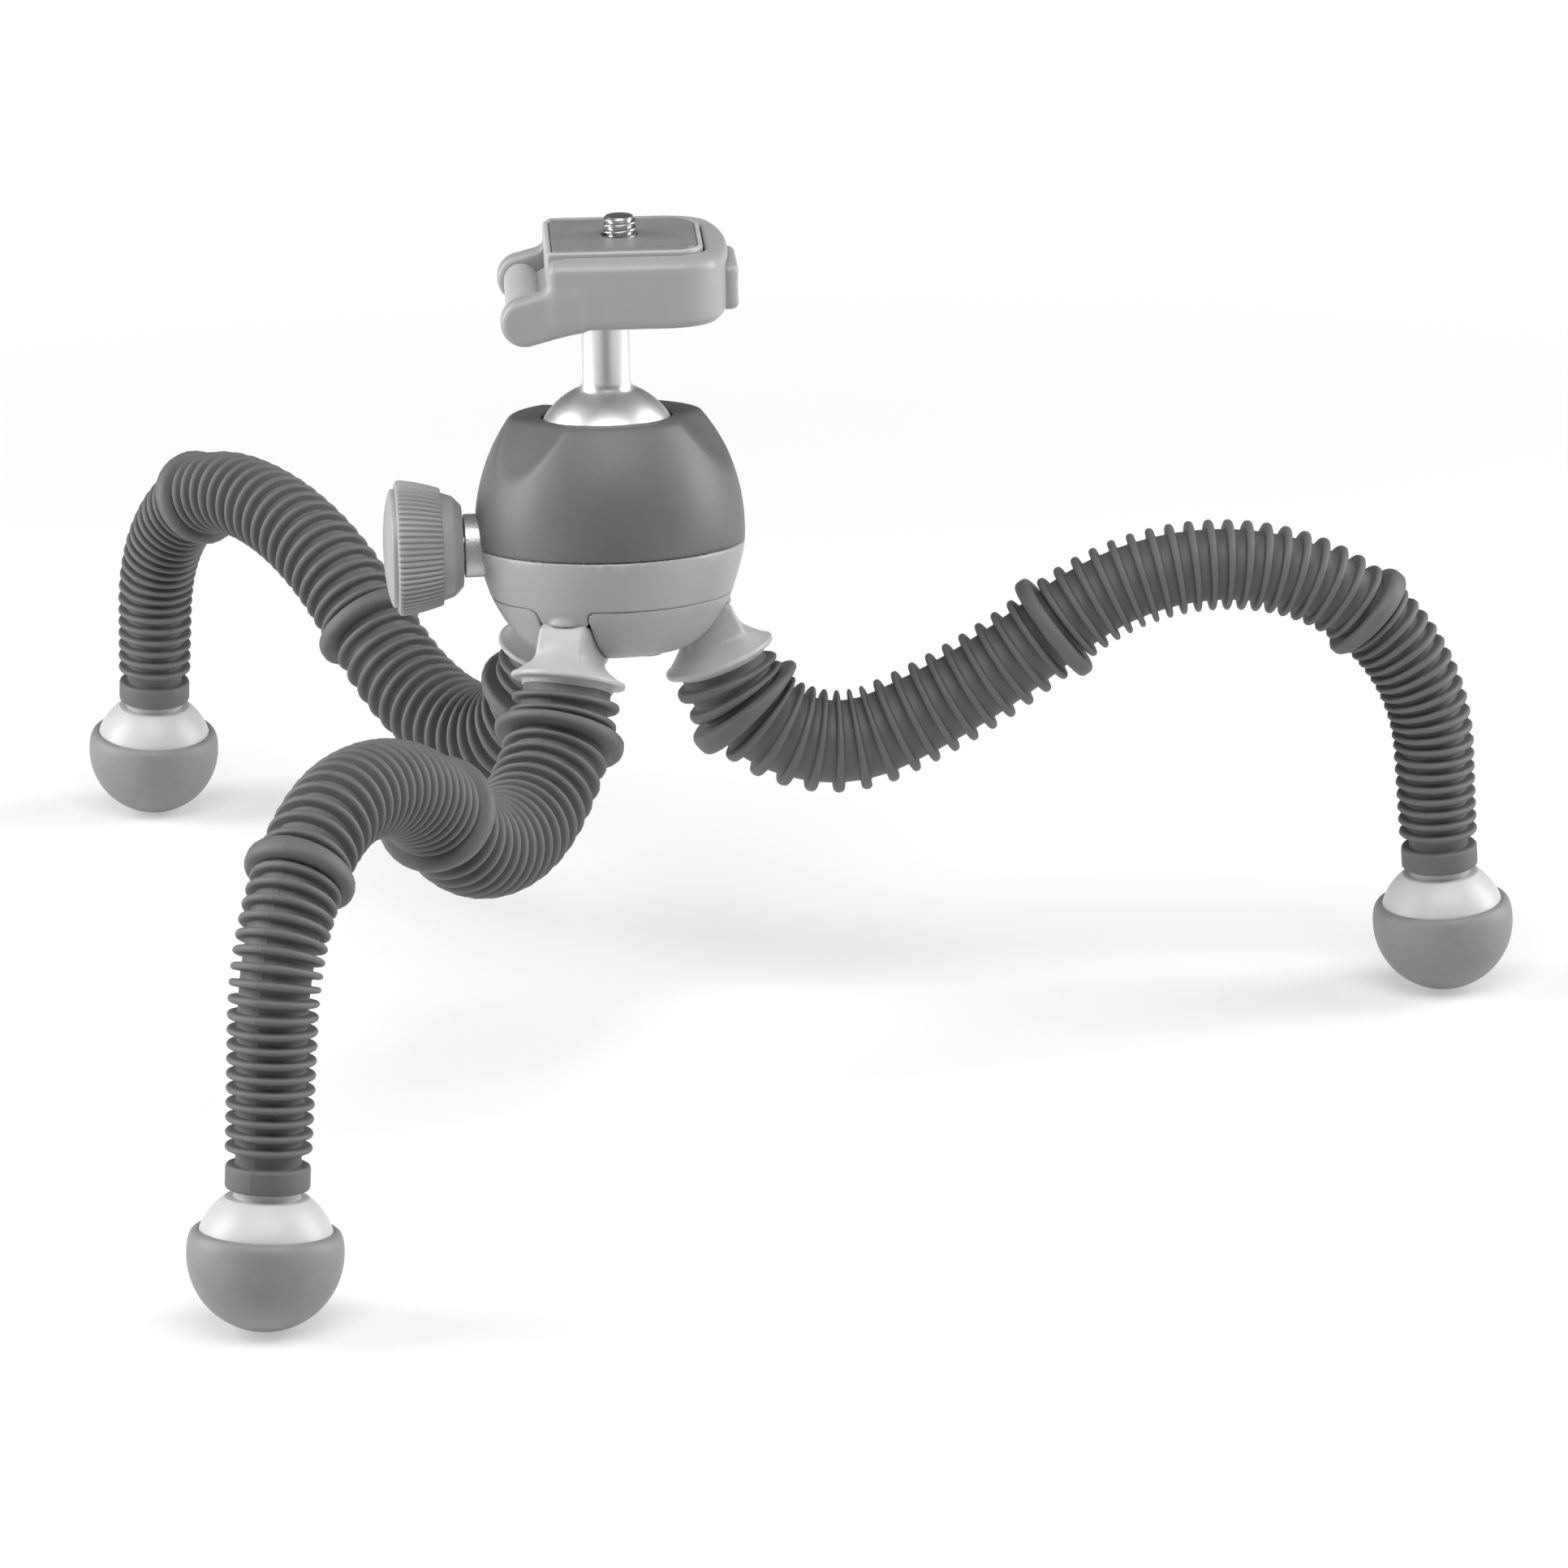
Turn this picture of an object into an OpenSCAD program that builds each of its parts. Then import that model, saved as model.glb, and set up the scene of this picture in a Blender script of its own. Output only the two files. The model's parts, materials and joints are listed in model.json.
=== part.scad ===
// Flexible leg tripod: a ball head on a hub that stands on three bendable ribbed legs.
// Millimetres. The floor is z = 0, the right leg points along +X, and the model is
// centred on the box round its three feet.

/* [Legs] */
// Length of a leg from its hub flange to the end of its sleeve
leg_length = 199; // [192:0.5:215]
// Slope of a leg below the hub's level where it leaves the hub
hip_slope = 70; // [66:1:74]
// Straight run of a leg below its hub flange
hip_run = 4; // [3:0.5:6]
// Lengths of the dip's tight part, the dip's slack part, the hump's slack part and its tight part
bend_lengths = [37, 32, 43, 50]; // [28:1:56]
// Turns of the right leg in those four stretches
right_turns = [93, 13, -51, -72]; // [-90:1:95]
// Turns of the back leg in those four stretches
back_turns = [75, 38, -39, -84]; // [-90:1:95]
// Turns of the front leg in those four stretches
front_turns = [67, 38, -37, -84]; // [-90:1:95]
// Sideways set of the right, back and front legs
leg_swing = [-3, 2, 4]; // [-8:1:8]

/* [Leg sleeve] */
// Radius of the sleeve at the hub end
sleeve_r_hub = 10.3; // [9.8:0.1:10.8]
// Radius of the sleeve at the foot end
sleeve_r_foot = 7.3; // [7:0.1:8]
// Distances of the three thick bands from the hub flange
band_at = [11.8, 78.7, 143.8]; // [10:0.1:150]
// Radii of the three thick bands
band_r = [12.3, 11.5, 10.3]; // [9:0.1:13]
// Thickness of a thick band
band_t = 3.2; // [2.4:0.1:4]
// Diameter of the core wire
wire_d = 5; // [4:0.1:6]
// Clearance round the core wire
wire_gap = 0.2; // [0.15:0.05:0.4]
// Depth to which the core wire is set into the hub flange and the foot
wire_set = 7; // [5:0.5:7.5]

/* [Leg sockets] */
// Distance of a flange's centre from the hub axis
hip_r = 19.8; // [19.2:0.1:20.6]
// Distance of a flange below the ball's centre
hip_down = 38.8; // [38.2:0.1:40]
// Radius of a flange
flange_r = 10.4; // [9.8:0.1:11]
// Thickness of a flange
flange_t = 2.6; // [2:0.1:3]
// Radius of the step under a flange
spigot_r = 8.6; // [8:0.1:9.2]
// Height of the step under a flange
spigot_h = 1.6; // [1:0.1:2]
// Width of a socket's neck
neck_w = 10; // [8:0.1:11]
// Height of a neck's outer shoulder above the flange's lower face
neck_h = 8; // [7:0.1:8.6]

/* [Feet] */
// Radius of a rubber foot
foot_r = 13.5; // [12.5:0.1:15]
// Height of a foot's rim above the foot's centre
foot_rim = 4.2; // [3.8:0.1:4.8]
// Radius of the foot core's plug inside the rubber
foot_plug_r = 8.8; // [8:0.1:9.4]
// Radius of the foot core's dome
foot_dome_r = 12.2; // [11.9:0.1:12.6]
// Height of the dome's flat top above the foot's centre
foot_ledge = 9.8; // [9.4:0.1:10.2]
// Radius of the foot core's neck
foot_neck_r = 5.7; // [5:0.1:6.4]
// Distance from a foot's centre to the end of its sleeve
foot_reach = 11.3; // [11:0.1:12]

/* [Hub] */
// Largest radius of the hub
hub_r = 25.5; // [25:0.1:27]
// Lean of the hub away from upright
hub_lean = 6; // [0:0.5:10]
// Seam between dome and band, below the ball's centre
seam_down = 16.3; // [15.6:0.1:17]
// Seam between band and bottom cover, below the ball's centre
cover_down = 26; // [25.4:0.1:27]
// Underside of the hub, below the ball's centre
bottom_down = 36.6; // [36:0.1:37.4]
// Radius of the hub at the bottom cover's seam
cover_r = 22.9; // [22.4:0.1:23.4]
// Radius of the flat underside
bottom_r = 12.5; // [11.5:0.1:13.5]
// Wall of the hub's shells
hub_wall = 2.4; // [2:0.1:2.8]
// Top of the dome's petals above the ball's centre
rim_up = 8.6; // [8.2:0.1:9.2]
// Depth of the three scoops in the dome's rim
scoop_d = 1.1; // [0.8:0.1:1.8]
// Distance of a scoop's upper edge from the hub axis
scoop_r = 16.4; // [16:0.1:17]
// Depth to which the scoops reach down the dome's side, below its petals
scoop_down = 12.8; // [11:0.1:13.5]
// Radius of the hollow across a scoop
scoop_hollow_r = 55; // [45:1:80]
// Turn of the dome's scoops from the legs
scoop_turn = 85; // [60:1:120]

/* [Ball head] */
// Height of the ball's centre above the floor
ball_z = 110.3; // [109:0.1:114]
// Diameter of the ball
ball_d = 28; // [27.4:0.1:28.6]
// Running clearance round the ball, the cup and the turning shafts
run_gap = 0.05; // [0.02:0.01:0.1]
// Radius of the cup under the ball
cup_r = 15.6; // [15.2:0.1:16]
// Depth of the cup below the ball's centre
cup_down = 17.6; // [17.2:0.1:18]
// Diameter of the stem
stem_d = 9; // [8:0.1:10]
// Turn of the head about the stem
head_turn = -3; // [-45:1:45]

/* [Lock knob] */
// Radius of the knob's ribbed band at its face
knob_r = 12.8; // [12.2:0.1:13.4]
// Radius of the knob's ribbed band at its back
knob_waist_r = 11.2; // [10.6:0.1:11.8]
// Length of the knob's ribbed band
knob_band = 8.6; // [7.6:0.1:9.6]
// Length of the cone behind the band
knob_cone = 3.9; // [3.2:0.1:4.8]
// Count of ribs round the knob
knob_ribs = 68; // [40:1:80]
// Depth of the knob's ribs
knob_rib_d = 0.45; // [0.3:0.05:0.6]
// Radius of the cap on the knob's face
cap_r = 11.2; // [10.6:0.1:11.6]
// Height of the cap above the knob's face
cap_proud = 2.4; // [1.8:0.1:3]
// Radius of the boss between hub and knob
boss_r = 6; // [5.4:0.1:6.6]
// Reach of the boss beyond the hub's largest radius
boss_out = 2.2; // [1.6:0.1:3]
// Turn of the knob's axis about the hub's axis
knob_swing = -1; // [-5:0.5:5]
// Radius of the lock screw
lock_screw_r = 3; // [2.6:0.1:3.4]

/* [Camera plate] */
// Underside of the head frame above the ball's centre
frame_up = 28.8; // [28:0.1:31]
// Height of the head frame
frame_h = 12.8; // [12.4:0.1:14]
// Depth of the head frame, front to back
frame_w = 40; // [38.5:0.1:43]
// Reach of the head frame to the left of the stem
frame_left = 11; // [10.4:0.1:12]
// Reach of the head frame to the right of the stem
frame_right = 23.2; // [22.8:0.1:24.4]
// Radius of the head frame's round end
frame_end_r = 34; // [30:0.5:40]
// Width of the camera plate
plate_w = 27; // [26:0.1:28]
// Reach of the camera plate to the right of the stem
plate_right = 18.2; // [17.8:0.1:18.6]
// Gap between the camera plate and the head frame
plate_gap = 0.4; // [0.3:0.05:0.5]
// Height of the camera plate above the head frame
plate_proud = 0.8; // [0.4:0.1:1.4]
// Thickness of the frame's floor under the plate
floor_t = 5; // [4.8:0.1:5.4]
// Thickness of the rubber pad
pad_t = 1.2; // [0.8:0.1:1.6]
// Width of the plate's lip round the pad
pad_lip = 1; // [0.8:0.1:1.6]
// Diameter of the camera screw
screw_d = 6.35; // [6.3:0.01:6.4]
// Reach of the camera screw above the pad
screw_up = 3.6; // [3.4:0.1:5.5]
// Place of the camera screw to the right of the stem
screw_x = 3; // [2.4:0.1:4]
// Hinge axis to the left of the stem
hinge_left = 15.3; // [15:0.1:16]
// Hinge axis above the underside of the frame
hinge_up = 1.8; // [1.2:0.1:2.2]
// Radius of the frame's ears
ear_r = 4.5; // [4.2:0.1:5]
// Height of the ears where they leave the frame
ear_up = 7.6; // [7:0.1:8.2]
// Thickness of the frame's ears
ear_t = 5; // [4:0.1:5.4]
// Radius of the plate's hinge barrel
barrel_r = 3.3; // [3:0.1:3.6]
// Radius of the hinge pin
pin_r = 1.5; // [1.2:0.1:1.8]
// Width of the release button
button_w = 17; // [15:0.1:18]
// Height of the release button
button_h = 8.2; // [7.6:0.1:8.8]
// Reach of the release button beyond the frame
button_out = 2.3; // [2:0.1:3]
// Travel of the release button
button_travel = 1.8; // [1:0.1:2]

/* [Hidden] */
$fn = 64;
LEGS = ["right", "back", "front"];
ball_r = ball_d / 2;
seat_gap = 0.05;
sides = 12;
skin = 1;

// A leg's path in its own upright plane: [distance out, height, slope], walked over [length, turn] bends
function advance(p, l, t) =
    let (chord = t == 0 ? l : l * sin(t / 2) / (t / 2 * PI / 180))
    [p[0] + chord * cos(p[2] + t / 2), p[1] + chord * sin(p[2] + t / 2), p[2] + t];
function walk(p, bends, s, i = 0) =
    i == len(bends) ? advance(p, s, 0)
    : s <= bends[i][0] ? advance(p, s, bends[i][0] == 0 ? 0 : bends[i][1] * s / bends[i][0])
    : walk(advance(p, bends[i][0], bends[i][1]), bends, s - bends[i][0], i + 1);
function sum(v, i = 0) = i == len(v) ? 0 : v[i] + sum(v, i + 1);

// A point given from the ball's centre in the leaning hub's own directions
function lean(v) =
    [v[0], v[1] * cos(hub_lean) + v[2] * sin(hub_lean), v[2] * cos(hub_lean) - v[1] * sin(hub_lean)];
function leg_azimuth(k) = 120 * k;
function hip_point(k) =
    [0, 0, ball_z] + lean([hip_r * cos(leg_azimuth(k)), hip_r * sin(leg_azimuth(k)), -hip_down]);
function hip_way(k) =
    lean([cos(hip_slope) * cos(leg_azimuth(k)), cos(hip_slope) * sin(leg_azimuth(k)), -sin(hip_slope)]);
function way_azimuth(k) =
    let (off = atan2(hip_way(k)[1], hip_way(k)[0]) - leg_azimuth(k))
    leg_azimuth(k) + off - 360 * round(off / 360);
function way_slope(k) = asin(hip_way(k)[2]);

// The straight runs before the hump and above the foot take up what is left of the leg's
// length, so that each foot stands on the floor
function turns(k) = [right_turns, back_turns, front_turns][k];
function bends(k, rise = 0, shank = 0) =
    let (t = turns(k), l = bend_lengths)
    [[hip_run, 0], [l[0], t[0]], [l[1], t[1]], [rise, 0], [l[2], t[2]], [l[3], t[3]], [shank, 0]];
function hip_pose(k) = [0, hip_point(k)[2], way_slope(k)];
function run_lengths(k) =
    let (spare = leg_length - hip_run - sum(bend_lengths),
         bare = walk(hip_pose(k), bends(k), leg_length - spare),
         rise_slope = way_slope(k) + turns(k)[0] + turns(k)[1],
         end_z = foot_r - foot_reach * sin(bare[2]),
         rise = (end_z - bare[1] - spare * sin(bare[2])) / (sin(rise_slope) - sin(bare[2])))
    [rise, spare - rise];
RUNS = [for (k = [0:2]) run_lengths(k)];
PATHS = [for (k = [0:2]) bends(k, RUNS[k][0], RUNS[k][1])];

// The leg's pose in space at a distance along it: [point, slope, azimuth]
swing_ease = 20;
function leg_pose(k, s) =
    let (p = walk(hip_pose(k), PATHS[k], s),
         ease = max(0, min(1, (s - hip_run) / swing_ease)),
         az = way_azimuth(k) + (leg_azimuth(k) + leg_swing[k] - way_azimuth(k)) * ease)
    [[hip_point(k)[0] + p[0] * cos(az), hip_point(k)[1] + p[0] * sin(az), p[1]], p[2], az];
function foot_centre(k) =
    let (e = leg_pose(k, leg_length))
    e[0] + foot_reach * [cos(e[1]) * cos(e[2]), cos(e[1]) * sin(e[2]), sin(e[1])];
FEET = [for (k = [0:2]) foot_centre(k)];
ORIGIN = [for (a = [0:1]) (max([for (f = FEET) f[a]]) + min([for (f = FEET) f[a]])) / 2];

// The sleeve is split at its bending places, which lie at these shares of the leg
bend_shares = [0.089, 0.168, 0.247, 0.326, 0.469, 0.5835, 0.698, 0.818];
HINGES = [for (f = bend_shares) f * leg_length];
CUTS = concat([spigot_h], HINGES, [leg_length]);
SECTIONS = len(CUTS) - 1;

// Tubes are rings of points joined by triangles; the last ring closes on the first
function ring(k, s, r) =
    let (p = leg_pose(k, s), side = [-sin(p[2]), cos(p[2]), 0],
         up = [-sin(p[1]) * cos(p[2]), -sin(p[1]) * sin(p[2]), cos(p[1])])
    [for (a = [0:sides - 1]) p[0] + r * (side * cos(360 * a / sides) + up * sin(360 * a / sides))];
module closed_tube(rings) {
    n = len(rings);
    m = len(rings[0]);
    polyhedron([for (r = rings) each r], [for (i = [0:n - 1], a = [0:m - 1])
        let (j = (i + 1) % n, b = (a + 1) % m)
        each [[i * m + a, j * m + a, j * m + b], [i * m + a, j * m + b, i * m + b]]]);
}
module capped_tube(rings) {
    n = len(rings);
    m = len(rings[0]);
    polyhedron([for (r = rings) each r], concat(
        [for (i = [0:n - 2], a = [0:m - 1])
            let (b = (a + 1) % m)
            each [[i * m + a, (i + 1) * m + a, (i + 1) * m + b], [i * m + a, (i + 1) * m + b, i * m + b]]],
        [for (a = [1:m - 2]) [0, a, a + 1]],
        [for (a = [1:m - 2]) (n - 1) * m * [1, 1, 1] + [0, a + 1, a]]));
}

// Stations along a section of the bore, close enough to follow the leg's bends
bore_step = 8;
function bore_stations(i) =
    let (n = max(1, ceil((CUTS[i + 1] - CUTS[i]) / bore_step)))
    [for (j = [0:n]) CUTS[i] + (CUTS[i + 1] - CUTS[i]) * j / n];
// A section's outline, [distance, radius]: a taper, and a thick band where one lies on it
function sleeve_radius(s) = sleeve_r_hub + (sleeve_r_foot - sleeve_r_hub) * s / leg_length;
function section_profile(i) =
    let (a = CUTS[i], b = CUTS[i + 1],
         hit = [for (j = [0:len(band_at) - 1])
             if (band_at[j] + band_t / 2 > a && band_at[j] - band_t / 2 < b) j],
         lo = len(hit) == 0 ? b : max(a, band_at[hit[0]] - band_t / 2),
         hi = len(hit) == 0 ? b : min(b, band_at[hit[0]] + band_t / 2))
    concat([for (s = bore_stations(i)) if (s < lo) [s, sleeve_radius(s)]],
        [[lo, sleeve_radius(lo)]],
        len(hit) == 0 ? [] : [[lo, band_r[hit[0]]], [hi, band_r[hit[0]]], [hi, sleeve_radius(hi)]],
        [for (s = bore_stations(i)) if (s > hi) [s, sleeve_radius(s)]]);
module leg_sleeve(k, i) {
    profile = section_profile(i);
    stations = bore_stations(i);
    bore_r = wire_d / 2 + wire_gap;
    color("dimgray")
    closed_tube(concat(
        [for (p = profile) ring(k, p[0], p[1])],
        [for (j = [len(stations) - 1:-1:0]) ring(k, stations[j], bore_r)]));
}
module leg_wire(k) {
    inner = [for (i = [0:SECTIONS - 1], s = bore_stations(i)) if (i == 0 || s > CUTS[i] + 0.01) s];
    color("silver")
    capped_tube([for (s = concat([-wire_set, 0], inner, [leg_length + wire_set]))
        ring(k, s, wire_d / 2)]);
}

// Places a piece at a distance along a leg, with +Z along the leg towards the foot
module along_leg(k, s) {
    p = leg_pose(k, s);
    translate(p[0]) rotate([0, 90 - p[1], p[2]]) children();
}
// Places a piece in the leaning hub, from the ball's centre
module on_hub() {
    translate([0, 0, ball_z]) rotate([-hub_lean, 0, 0]) children();
}
// Places a piece in the upright head, from the ball's centre
module on_head() {
    translate([0, 0, ball_z]) rotate([0, 0, head_turn]) children();
}
module from_centre() {
    translate([-ORIGIN[0], -ORIGIN[1], 0]) children();
}
// Places a piece on a hub flange, with +Z into the hub and +X outwards
module on_flange(k) {
    on_hub() rotate([0, 0, leg_azimuth(k)]) translate([hip_r, 0, -hip_down])
        rotate([0, hip_slope - 90, 0]) children();
}
// Turns a piece that lies along -X in the hub onto the knob's axis
module across_hub() {
    rotate([0, 0, knob_swing]) children();
}
// Lays a piece with +Z along the knob's axis, away from the hub
module on_knob_axis(out = 0) {
    on_hub() across_hub() translate([-out, 0, -seam_down]) rotate([0, -90, 0]) children();
}

function bezier(p, q, r, n = 6) =
    [for (i = [0:n]) let (t = i / n) (1 - t) * (1 - t) * p + 2 * t * (1 - t) * q + t * t * r];

// The hub's outline, [radius, height from the ball's centre]
dome_arc_r = 37;
dome_arc_z = 2.3 - seam_down;
shoulder_up = rim_up - 4.6;
function dome_r(z) = hub_r - dome_arc_r + sqrt(dome_arc_r * dome_arc_r - pow(z - dome_arc_z, 2));
dome_outline = concat(
    [for (i = [0:6]) let (z = -seam_down + (shoulder_up + seam_down) * i / 6) [dome_r(z), z]],
    bezier([dome_r(shoulder_up), shoulder_up], [dome_r(shoulder_up) - 2.2, rim_up],
        [ball_r - 1, rim_up]));
function band_r_at(z) = hub_r + (cover_r - hub_r) * pow((-seam_down - z) / (cover_down - seam_down), 1.3);
band_outline = [for (i = [0:4]) let (z = -seam_down + (seam_down - cover_down) * i / 4) [band_r_at(z), z]];
cover_outline = bezier([cover_r, -cover_down], [cover_r - 4.6, -bottom_down + 0.4],
    [bottom_r, -bottom_down], 7);

boss_in = hub_r - 5.2;
knob_back = hub_r + boss_out + 0.3;
knob_face = knob_back + knob_cone + knob_band;
shell_floor = cover_down - 3.2;
floor_plate = 2;
hole_r = 1.2;
thread_r = 1.15;
// The cover's screws go into posts of the lower shell, the shell's screws into posts of the dome
cover_post_at = 11;
cover_post_r = 3;
cover_post_turns = [60, 180, 300];
shell_post_at = cup_r + hub_wall - 0.1;
shell_post_r = 2.6;
shell_post_turns = [90, 210, 330];
cavity_top = 3;
screw_bite = 6;

// Slope of a scoop, from its upper edge to where it runs out on the dome's side
scoop_low = rim_up - scoop_down;
scoop_fall = atan2(scoop_down - scoop_d, dome_r(scoop_low) - scoop_r);
module upper_shell() {
    sleeve_r = cup_r + run_gap + hub_wall;
    color("dimgray") on_hub() difference() {
        rotate_extrude() polygon(concat([[0, -seam_down]], dome_outline, [[0, rim_up]]));
        sphere(ball_r + run_gap);
        translate([0, 0, -seam_down - skin]) cylinder(h = seam_down + 2 * skin, r = cup_r + run_gap);
        difference() {
            rotate_extrude() polygon(concat(
                [[sleeve_r, -seam_down - skin], [hub_r - hub_wall, -seam_down - skin]],
                [for (i = [0:3]) let (z = -seam_down + (seam_down - cavity_top) * i / 3)
                    [dome_r(z) - hub_wall, z]],
                [[sleeve_r, -cavity_top]]));
            for (a = shell_post_turns) rotate([0, 0, a]) translate([shell_post_at, 0, -seam_down - 2 * skin])
                cylinder(h = seam_down, r = shell_post_r);
        }
        for (a = [0:120:240]) rotate([0, 0, scoop_turn + a]) translate([scoop_r, 0, rim_up - scoop_d])
            rotate([0, scoop_fall + 90, 0]) translate([-scoop_hollow_r, 0, -hub_r])
                cylinder(h = 2 * hub_r, r = scoop_hollow_r);
        across_hub() translate([0, 0, -seam_down]) rotate([0, -90, 0])
            cylinder(h = 2 * hub_r, r = boss_r + seat_gap);
        for (a = shell_post_turns) rotate([0, 0, a]) translate([shell_post_at, 0, -seam_down - skin])
            cylinder(h = screw_bite + 2 * skin, r = hole_r);
    }
}

module ball_cup() {
    hole = 5;
    top = -0.6;
    color("gainsboro") on_hub() difference() {
        rotate_extrude() polygon([[hole, -cup_down], [cup_r - cup_chamfer, -cup_down],
            [cup_r, -cup_down + cup_chamfer], [cup_r, top], [hole, top]]);
        sphere(ball_r + run_gap);
    }
}

module ball_stem() {
    r = stem_d / 2;
    join = sqrt(ball_r * ball_r - (r + 1.2) * (r + 1.2));
    color("silver") on_head() difference() {
        union() {
            sphere(ball_r);
            rotate_extrude() polygon(concat([[0, 0], [r + 1.2, join]],
                bezier([r + 1.2, join], [r, join + 0.8], [r, join + 2.4]),
                bezier([r, frame_up - 2], [r, frame_up - 0.6], [r + 0.8, frame_up]),
                [[0, frame_up]]));
            translate([0, 0, frame_up - skin]) cylinder(h = skin + spigot_up, r = stem_spigot_r);
        }
        translate([0, 0, frame_up - base_bite - skin])
            cylinder(h = base_bite + skin + frame_h, r = base_screw_r + run_gap);
    }
}

// A straight upright slot over a leg's neck, as wide as given
module leg_slot(k, w, low, high) {
    rotate([0, 0, leg_azimuth(k)]) translate([hub_r / 2, -w / 2, low]) cube([hub_r, w, high - low]);
}
tongue_low = 29.1;
neck_gap = 0.3;
// The cover's inner outline, and the upper end of its floor
cover_floor = -bottom_down + hub_wall;
cover_inside = concat([[cover_outline[4][0] - hub_wall, cover_floor]],
    [for (i = [3:-1:0]) cover_outline[i] - [hub_wall, 0]]);
module lower_shell() {
    inside_r = cover_r - hub_wall;
    color("silver") on_hub() difference() {
        union() {
            rotate_extrude() polygon(concat(band_outline, [[inside_r, -cover_down],
                [inside_r, -shell_floor - floor_plate], [5, -shell_floor - floor_plate],
                [5, -shell_floor], [inside_r + 0.4, -shell_floor], [hub_r - hub_wall, -seam_down]]));
            for (k = [0:2]) intersection() {
                rotate_extrude() polygon(concat(band_outline, cover_outline, cover_inside,
                    [[inside_r, -cover_down + skin]]));
                leg_slot(k, neck_w - 0.2, -tongue_low, -cover_down + skin);
            }
            for (a = cover_post_turns) rotate([0, 0, a])
                translate([cover_post_at, 0, cover_floor + seat_gap])
                    cylinder(h = -cover_floor - shell_floor - skin, r = cover_post_r);
        }
        across_hub() translate([0, 0, -seam_down]) rotate([0, -90, 0])
            cylinder(h = 2 * hub_r, r = boss_r + seat_gap);
        for (a = cover_post_turns) rotate([0, 0, a]) translate([cover_post_at, 0, -bottom_down])
            cylinder(h = cover_screw_l + 0.5, r = hole_r);
        for (a = shell_post_turns) rotate([0, 0, a]) translate([shell_post_at, 0, -cover_down])
            cylinder(h = cover_down - seam_down, r = hole_r + 0.2);
    }
}

module bottom_cover() {
    color("silver") on_hub() difference() {
        rotate_extrude() polygon(concat(cover_outline, [[0, -bottom_down], [0, cover_floor]], cover_inside));
        for (k = [0:2]) leg_slot(k, neck_w + 2 * neck_gap, -bottom_down - skin, -cover_down + skin);
        for (a = cover_post_turns) rotate([0, 0, a]) translate([cover_post_at, 0, -bottom_down - skin]) {
            cylinder(h = hub_wall + 2 * skin, r = hole_r + 0.2);
            cylinder(h = skin + cover_head + seat_gap, r = cover_head_r + 0.1);
        }
    }
}

cover_head = 1.1;
cover_head_r = 2.7;
cover_screw_l = 9;
module cover_screws() {
    color("dimgray") on_hub() for (a = cover_post_turns) rotate([0, 0, a])
        translate([cover_post_at, 0, -bottom_down]) {
            cylinder(h = cover_head, r = cover_head_r);
            cylinder(h = cover_screw_l, r = thread_r);
        }
}

shell_head = 1.6;
shell_head_r = 2.3;
module shell_screws() {
    color("dimgray") on_hub() for (a = shell_post_turns) rotate([0, 0, a])
        translate([shell_post_at, 0, -shell_floor - floor_plate]) {
            translate([0, 0, -shell_head]) cylinder(h = shell_head, r = shell_head_r);
            cylinder(h = shell_floor + floor_plate - seam_down + screw_bite, r = thread_r);
        }
}

module screw_boss() {
    color("silver") on_knob_axis(boss_in) difference() {
        cylinder(h = hub_r + boss_out - boss_in, r = boss_r);
        translate([0, 0, -skin]) cylinder(h = hub_r, r = lock_screw_r + run_gap);
    }
}

lock_screw_in = cup_r + 1;
module lock_screw() {
    color("silver") on_knob_axis(lock_screw_in)
        cylinder(h = knob_face - 4 - lock_screw_in, r = lock_screw_r);
}

wedge_w = 9;
wedge_out = 18.1;
wedge_in = 11.6;
wedge_travel = 1.6;
cup_chamfer = 4;
module lock_wedge() {
    low = shell_floor - 0.3;
    color("gray") on_hub() across_hub() difference() {
        translate([-wedge_out, -wedge_w / 2, -low])
            cube([wedge_out - wedge_in, wedge_w, low - cup_down + cup_chamfer + 0.4]);
        translate([0, 0, -cup_down - 0.15]) cylinder(h = cup_chamfer, r1 = cup_r - cup_chamfer, r2 = cup_r);
        translate([0, 0, -cup_down + cup_chamfer - 0.16]) cylinder(h = ball_d, r = cup_r + 0.3);
        translate([wedge_travel + run_gap - lock_screw_in, 0, -seam_down]) rotate([0, -90, 0])
            cylinder(h = wedge_out, r = lock_screw_r + seat_gap);
    }
}

module lock_knob() {
    pitch = 360 / knob_ribs;
    back_r = boss_r + 1.7;
    cone_r = knob_waist_r - 1;
    color("silver") on_knob_axis(knob_back) difference() {
        union() {
            rotate_extrude() polygon([[0, 0], [back_r, 0], [cone_r, knob_cone - 0.2],
                [cone_r, knob_cone + 0.2], [0, knob_cone + 0.2]]);
            translate([0, 0, knob_cone]) linear_extrude(knob_band, scale = knob_r / knob_waist_r)
                polygon([for (i = [0:knob_ribs - 1])
                    each [knob_waist_r * [cos(i * pitch), sin(i * pitch)],
                        (knob_waist_r - knob_rib_d) * [cos((i + 0.5) * pitch), sin((i + 0.5) * pitch)]]]);
        }
        translate([0, 0, -skin]) cylinder(h = knob_face - knob_back - 3, r = lock_screw_r + seat_gap);
        translate([0, 0, knob_cone + knob_band - 1]) cylinder(h = 2, r = cap_r + seat_gap);
    }
}

module knob_cap() {
    edge = 1 + cap_proud * 0.35;
    color("silver") on_knob_axis(knob_face - 1) rotate_extrude()
        polygon(concat([[0, 0], [cap_r, 0]],
            bezier([cap_r, edge], [cap_r * 0.6, 1 + cap_proud], [0, 1 + cap_proud])));
}

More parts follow.
